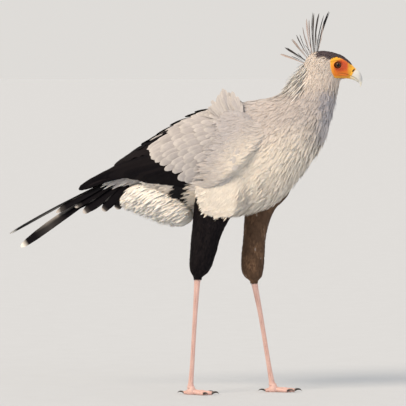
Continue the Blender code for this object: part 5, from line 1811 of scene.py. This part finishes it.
class RepeatTree:
    """A node tree that sets one small spike or plate on each point of a guide, turned along its
    direction."""

    def __init__(self, label: str) -> None:
        """Build the tree.

        Args:
            label: Name of the tree.
        """
        tree = bpy.data.node_groups.new(label, "GeometryNodeTree")
        face = tree.interface
        face.new_socket("Geometry", in_out="INPUT", socket_type="NodeSocketGeometry")
        self.sockets = {}
        for name, kind, value in (("Thickness", "NodeSocketFloat", 0.05),
                                  ("Flatness", "NodeSocketFloat", 1.0),
                                  ("Tip", "NodeSocketFloat", 0.06),
                                  ("Material", "NodeSocketMaterial", None)):
            socket = face.new_socket(name, in_out="INPUT", socket_type=kind)
            if value is not None:
                socket.default_value = value
            self.sockets[name] = socket.identifier
        face.new_socket("Geometry", in_out="OUTPUT", socket_type="NodeSocketGeometry")
        start = add_node(tree, "NodeGroupInput")
        tip = add_node(tree, "ShaderNodeMath", {"operation": "MULTIPLY"},
                       {0: start.outputs["Thickness"], 1: start.outputs["Tip"]})
        cone = add_node(tree, "GeometryNodeMeshCone", {"Vertices": 8, "Side Segments": 4, "Depth": 1.0},
                        {"Radius Top": tip.outputs[0], "Radius Bottom": start.outputs["Thickness"]})
        flat = add_node(tree, "ShaderNodeCombineXYZ", {"X": 1.0, "Z": 1.0}, {"Y": start.outputs["Flatness"]})
        shaped = add_node(tree, "GeometryNodeTransform", {}, {"Geometry": cone.outputs["Mesh"],
                                                              "Scale": flat.outputs[0]})
        heading, over, size = (
            add_node(tree, "GeometryNodeInputNamedAttribute",
                     {"data_type": kind, "Name": name}).outputs["Attribute"]
            for name, kind in (("heading", "FLOAT_VECTOR"), ("over", "FLOAT_VECTOR"), ("size", "FLOAT")))
        turn = add_node(tree, "FunctionNodeAxesToRotation", {"primary_axis": "Z", "secondary_axis": "Y"},
                        {0: heading, 1: over})
        put = add_node(tree, "GeometryNodeInstanceOnPoints", {},
                       {"Points": start.outputs["Geometry"], "Instance": shaped.outputs[0],
                        "Rotation": turn.outputs[0], "Scale": size})
        real = add_node(tree, "GeometryNodeRealizeInstances", {}, {0: put.outputs[0]})
        dressed = add_node(tree, "GeometryNodeSetMaterial", {}, {"Geometry": real.outputs[0],
                                                                 "Material": start.outputs["Material"]})
        add_node(tree, "NodeGroupOutput", {}, {0: dressed.outputs[0]})
        self.tree = tree

    def place(self, name: str, roots: Array, heading: Array, size: Array, finish: Finish,
              colour: Array, thickness: float, flatness: float = 1.0, tip: float = 0.06,
              over: Array | None = None) -> Piece:
        """Set the shape on points and turn the result into a plain mesh.

        Args:
            name: Name of the piece.
            roots: Points in millimetres.
            heading: Direction of each.
            size: Length of each in millimetres.
            finish: What it is made of.
            colour: Its colour.
            thickness: Radius at the root, as a share of the length.
            flatness: Thickness along the outward direction, as a share of the width.
            tip: Radius at the end, as a share of that at the root.
            over: Outward direction of each, if it matters.

        Returns:
            The finished object.
        """
        mesh = bpy.data.meshes.new(name + "_guide")
        mesh.from_pydata(((roots + FRAME_SHIFT) * MM).tolist(), [], [])
        over = np.tile((0.0, 1.0, 0.0), (len(roots), 1)) if over is None else over
        store(mesh, "heading", heading)
        store(mesh, "over", over)
        mesh.attributes.new("size", "FLOAT", "POINT").data.foreach_set("value",
                                                                       (size * MM).astype(np.float32))
        guide = bpy.data.objects.new(name + "_guide", mesh)
        bpy.context.scene.collection.objects.link(guide)
        modifier = guide.modifiers.new("repeat", "NODES")
        modifier.node_group = self.tree
        for key, value in (("Thickness", thickness), ("Flatness", flatness), ("Tip", tip),
                           ("Material", finish.material())):
            modifier[self.sockets[key]] = value
        graph = bpy.context.evaluated_depsgraph_get()
        made = bpy.data.meshes.new_from_object(guide.evaluated_get(graph))
        bpy.data.objects.remove(guide)
        made.shade_smooth()
        obj = bpy.data.objects.new(name, made)
        bpy.context.scene.collection.objects.link(obj)
        paint(obj, np.tile(colour, (len(made.vertices), 1)))
        return obj


# Columns of scutes round a shank: angle from the front, and size as a share of the broad ones in front.
SCUTE_COLUMNS = ((0, 1.0), (48, 0.78), (-48, 0.78), (180, 0.8), (132, 0.6), (-132, 0.6))
# How far round a circle a claw curves.
CLAW_ARC = math.radians(58)


@dataclass
class LegScales:
    """Raised scutes of one shank and foot, and its claws.

    Attributes:
        side: Which leg.
        scute_gap: Distance between the broad scutes down the front of the shank.
        toe_gap: Distance between the scutes of a toe.
    """

    side: Side
    scute_gap: float = 6.2
    toe_gap: float = 4.2

    def build(self) -> Piece:
        """Make the scutes of the shank and toes as one piece."""
        roots, heading, over, size = [], [], [], []
        table = SHANKS[self.side]
        heights = np.arange(table[0, 2] + 6, table[4, 2] + 18, self.scute_gap)
        for turn, share in SCUTE_COLUMNS:
            angle = math.radians(turn)
            rows = follow_rows(table, np.interp(heights + (0 if turn in (0, 180) else self.scute_gap / 2),
                                                table[:, 2], np.arange(len(table))))
            out = np.array((math.cos(angle), math.sin(angle), 0.0))
            foot = np.stack((rows[:, 0] + rows[:, 3] * out[0] * 0.9, rows[:, 1] + rows[:, 4] * out[1] * 0.9,
                             rows[:, 2] + self.scute_gap * 0.5), axis=-1)
            roots.append(foot)
            heading.append(-unit(np.gradient(rows[:, :3], axis=0)))
            over.append(np.tile(out, (len(rows), 1)))
            size.append(np.full(len(rows), self.scute_gap * 0.98 * (0.7 + 0.3 * share)))
        for toe in TOES:
            root, ahead = toe_frame(self.side, toe)
            _, length, radius = TOES[toe]
            steps = np.arange(8, length - 1, self.toe_gap)
            scale = np.interp(steps / length, TOE_PROFILE[:, 0], TOE_PROFILE[:, 1])
            sunk = radius * TOE_SINK
            height = sunk * (scale * 0.6 + 0.4) + (root[2] - sunk) * (1 - steps / length) ** 2
            base = root + ahead * steps[:, None]
            base[:, 2] = height + radius * scale * 0.9
            roots.append(base)
            heading.append(np.tile(unit(ahead - (0, 0, 0.1)), (len(steps), 1)))
            over.append(np.tile((0.0, 0.0, 1.0), (len(steps), 1)))
            size.append(np.full(len(steps), self.toe_gap * 1.25))
        return RepeatTree(f"scutes_{self.side.word}").place(
            f"scutes_{self.side.word}", np.concatenate(roots), np.concatenate(heading), np.concatenate(size),
            SKIN,
            LEG_PINK, thickness=0.62, flatness=0.3, tip=0.8, over=np.concatenate(over))

    def claw(self, toe: str) -> Piece:
        """Make one curved claw."""
        root, ahead = toe_frame(self.side, toe)
        _, length, radius = TOES[toe]
        base = root + ahead * (length - 2.5)
        base[2] = radius * TOE_SINK * 0.76
        reach = CLAW_LENGTH[toe] + 2.5
        share = np.linspace(0, 1, 22)
        arc = CLAW_ARC * share
        centres = base + ahead * (reach * np.sin(arc) / math.sin(CLAW_ARC))[:, None]
        centres[:, 2] = base[2] + 0.21 * reach * np.sin(math.pi * share * 0.8) - base[2] * 0.72 * share**2
        thick = radius * np.interp(share, (0, 0.3, 0.65, 1.0), (0.56, 0.5, 0.32, 0.06))
        across = np.cross((0, 0, 1), ahead)
        tall = np.array((0, 0, 1.0)) * np.cos(arc)[:, None] + ahead * np.sin(arc)[:, None]
        rings = ellipse_rings(centres, across * (thick * 0.8)[:, None], tall * thick[:, None], 20)
        rings[..., 2] = np.maximum(rings[..., 2], 0.05)
        obj = set_outwards(mesh_object(f"claw_{self.side.word}_{toe}_horn", *loft_arrays(rings),
                                       CLAW_HORN.material()))
        paint(obj, np.tile(linear("#2B2521"), (len(obj.data.vertices), 1)))
        return obj


# The photograph's view: azimuth and height of the camera in degrees, its distance and field in metres, and
# where its middle lies to the right of the origin and above the floor.
VIEW_AZIMUTH = 10.0
VIEW_ELEVATION = 2.5
VIEW_DISTANCE = 12.0
VIEW_FIELD = 1.137
VIEW_CENTRE = (0.0516, 0.532)
SENSOR_WIDTH = 36.0
FLOOR_TINT = (0.549, 0.582, 0.622)


class Studio:
    """Plain pale floor, soft daylight from the upper left and the camera."""

    def build(self) -> None:
        """Make floor, lights, world and camera."""
        self.floor()
        self.light("key", (-0.55, -0.78, 0.82), 2.7, 26, "#FFEBD3")
        self.light("fill", (0.9, -0.6, 0.35), 0.5, 60, "#E6EEFF")
        world = bpy.data.worlds.new("soft sky")
        bpy.context.scene.world = world
        world.use_nodes = True
        background = world.node_tree.nodes["Background"]
        background.inputs["Color"].default_value = (*linear("#F3F0EC"), 1.0)
        background.inputs["Strength"].default_value = 0.82
        bpy.context.scene.view_settings.view_transform = "Standard"
        self.camera()

    def floor(self) -> None:
        """Lay a wide pale floor."""
        material = bpy.data.materials.new("pale matt floor")
        material.use_nodes = True
        tree, shader = material.node_tree, material.node_tree.nodes["Principled BSDF"]
        place = add_node(tree, "ShaderNodeTexCoord")
        grain = add_node(tree, "ShaderNodeTexNoise", {"Scale": 12.0, "Detail": 4.0},
                         {"Vector": place.outputs["Object"]})
        level = add_node(tree, "ShaderNodeMapRange", {"To Min": 0.97, "To Max": 1.03},
                         {"Value": grain.outputs["Fac"]})
        tint = add_node(tree, "ShaderNodeVectorMath", {"operation": "SCALE", 0: FLOOR_TINT},
                        {"Scale": level.outputs[0]})
        tree.links.new(tint.outputs[0], shader.inputs["Base Color"])
        shader.inputs["Roughness"].default_value = 0.9
        mesh = bpy.data.meshes.new("floor")
        bm = bmesh.new()
        bmesh.ops.create_circle(bm, cap_ends=True, segments=96, radius=60.0)
        bm.to_mesh(mesh)
        bm.free()
        mesh.materials.append(material)
        floor = bpy.data.objects.new("floor", mesh)
        bpy.context.scene.collection.objects.link(floor)
        floor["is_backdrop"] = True

    def light(self, name: str, away: tuple[float, float, float], strength: float, angle: float,
              colour: str) -> None:
        """Add one broad, far light.

        Args:
            name: Its name.
            away: Direction from the bird to the light.
            strength: Irradiance.
            angle: How broad it is, in degrees, which softens its shadows.
            colour: Its colour as a hex code.
        """
        data = bpy.data.lights.new(name, "SUN")
        data.energy, data.angle, data.color = strength, math.radians(angle), linear(colour)
        lamp = bpy.data.objects.new(name, data)
        lamp.rotation_euler = (-Vector(away)).to_track_quat("-Z", "Y").to_euler()
        bpy.context.scene.collection.objects.link(lamp)

    def camera(self) -> None:
        """Set the camera at the photograph's angle."""
        azimuth, elevation = math.radians(VIEW_AZIMUTH), math.radians(VIEW_ELEVATION)
        away = Vector((math.sin(azimuth) * math.cos(elevation), -math.cos(azimuth) * math.cos(elevation),
                       math.sin(elevation)))
        right = Vector((math.cos(azimuth), math.sin(azimuth), 0))
        data = bpy.data.cameras.new("camera")
        data.sensor_width = SENSOR_WIDTH
        data.lens = SENSOR_WIDTH * VIEW_DISTANCE / VIEW_FIELD
        data.clip_end = 200.0
        camera = bpy.data.objects.new("camera", data)
        camera.location = right * VIEW_CENTRE[0] + Vector((0, 0, VIEW_CENTRE[1])) + away * VIEW_DISTANCE
        camera.rotation_euler = (-away).to_track_quat("-Z", "Y").to_euler()
        bpy.context.scene.collection.objects.link(camera)
        bpy.context.scene.camera = camera


def corners(box: tuple[Vector, Vector]) -> list[list[float]]:
    """A box as plain lists of numbers."""
    return [[float(value) for value in corner] for corner in box]


def main() -> None:
    """Build the studio and every piece of the bird."""
    logging.basicConfig(level=logging.INFO, format="%(name)s: %(message)s")
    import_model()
    solids = corners(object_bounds())
    Studio().build()

    flesh = ["torso", "neck", "hindhead", "head"]
    flesh += [f"{part}_{side.word}" for side in Side for part in ("thigh", "shank", "foot")]
    settle(Skin().build(), "face", *flesh)
    for piece in BodyCoat().build():
        settle(piece, "grey")
    crest, hackles = Crest().build()
    settle(crest, "black")
    settle(hackles, "grey")
    feathers, coverts = Tail().build()
    settle(feathers, "black", "tail")
    settle(coverts, "white")
    settle(Undertail().build(), "white", "undertail")
    head = Head()
    settle(head.bill(upper=True), "bill", "bill_upper")
    settle(head.bill(upper=False), "bill", "bill_lower")
    for side in Side:
        flight, coverts = Wing(side).build()
        settle(flight, "black")
        settle(coverts, "grey", f"wing_{side.word}")
        settle(ThighCoat(side).build(), "black")
        settle(FlankFringe(side).build(), "white")
        settle(ShoulderCoat(side).build(), "grey")
        settle(head.eye(side), "eye", f"eye_{side.word}")
        settle(head.lashes(side), "claw")
        leg = LegScales(side)
        settle(leg.build(), "leg")
        for toe in TOES:
            settle(leg.claw(toe), "claw", f"claw_{side.word}_{toe}")

    {"solids": solids, "visual": corners(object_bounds())}


if __name__ == "__main__":
    main()
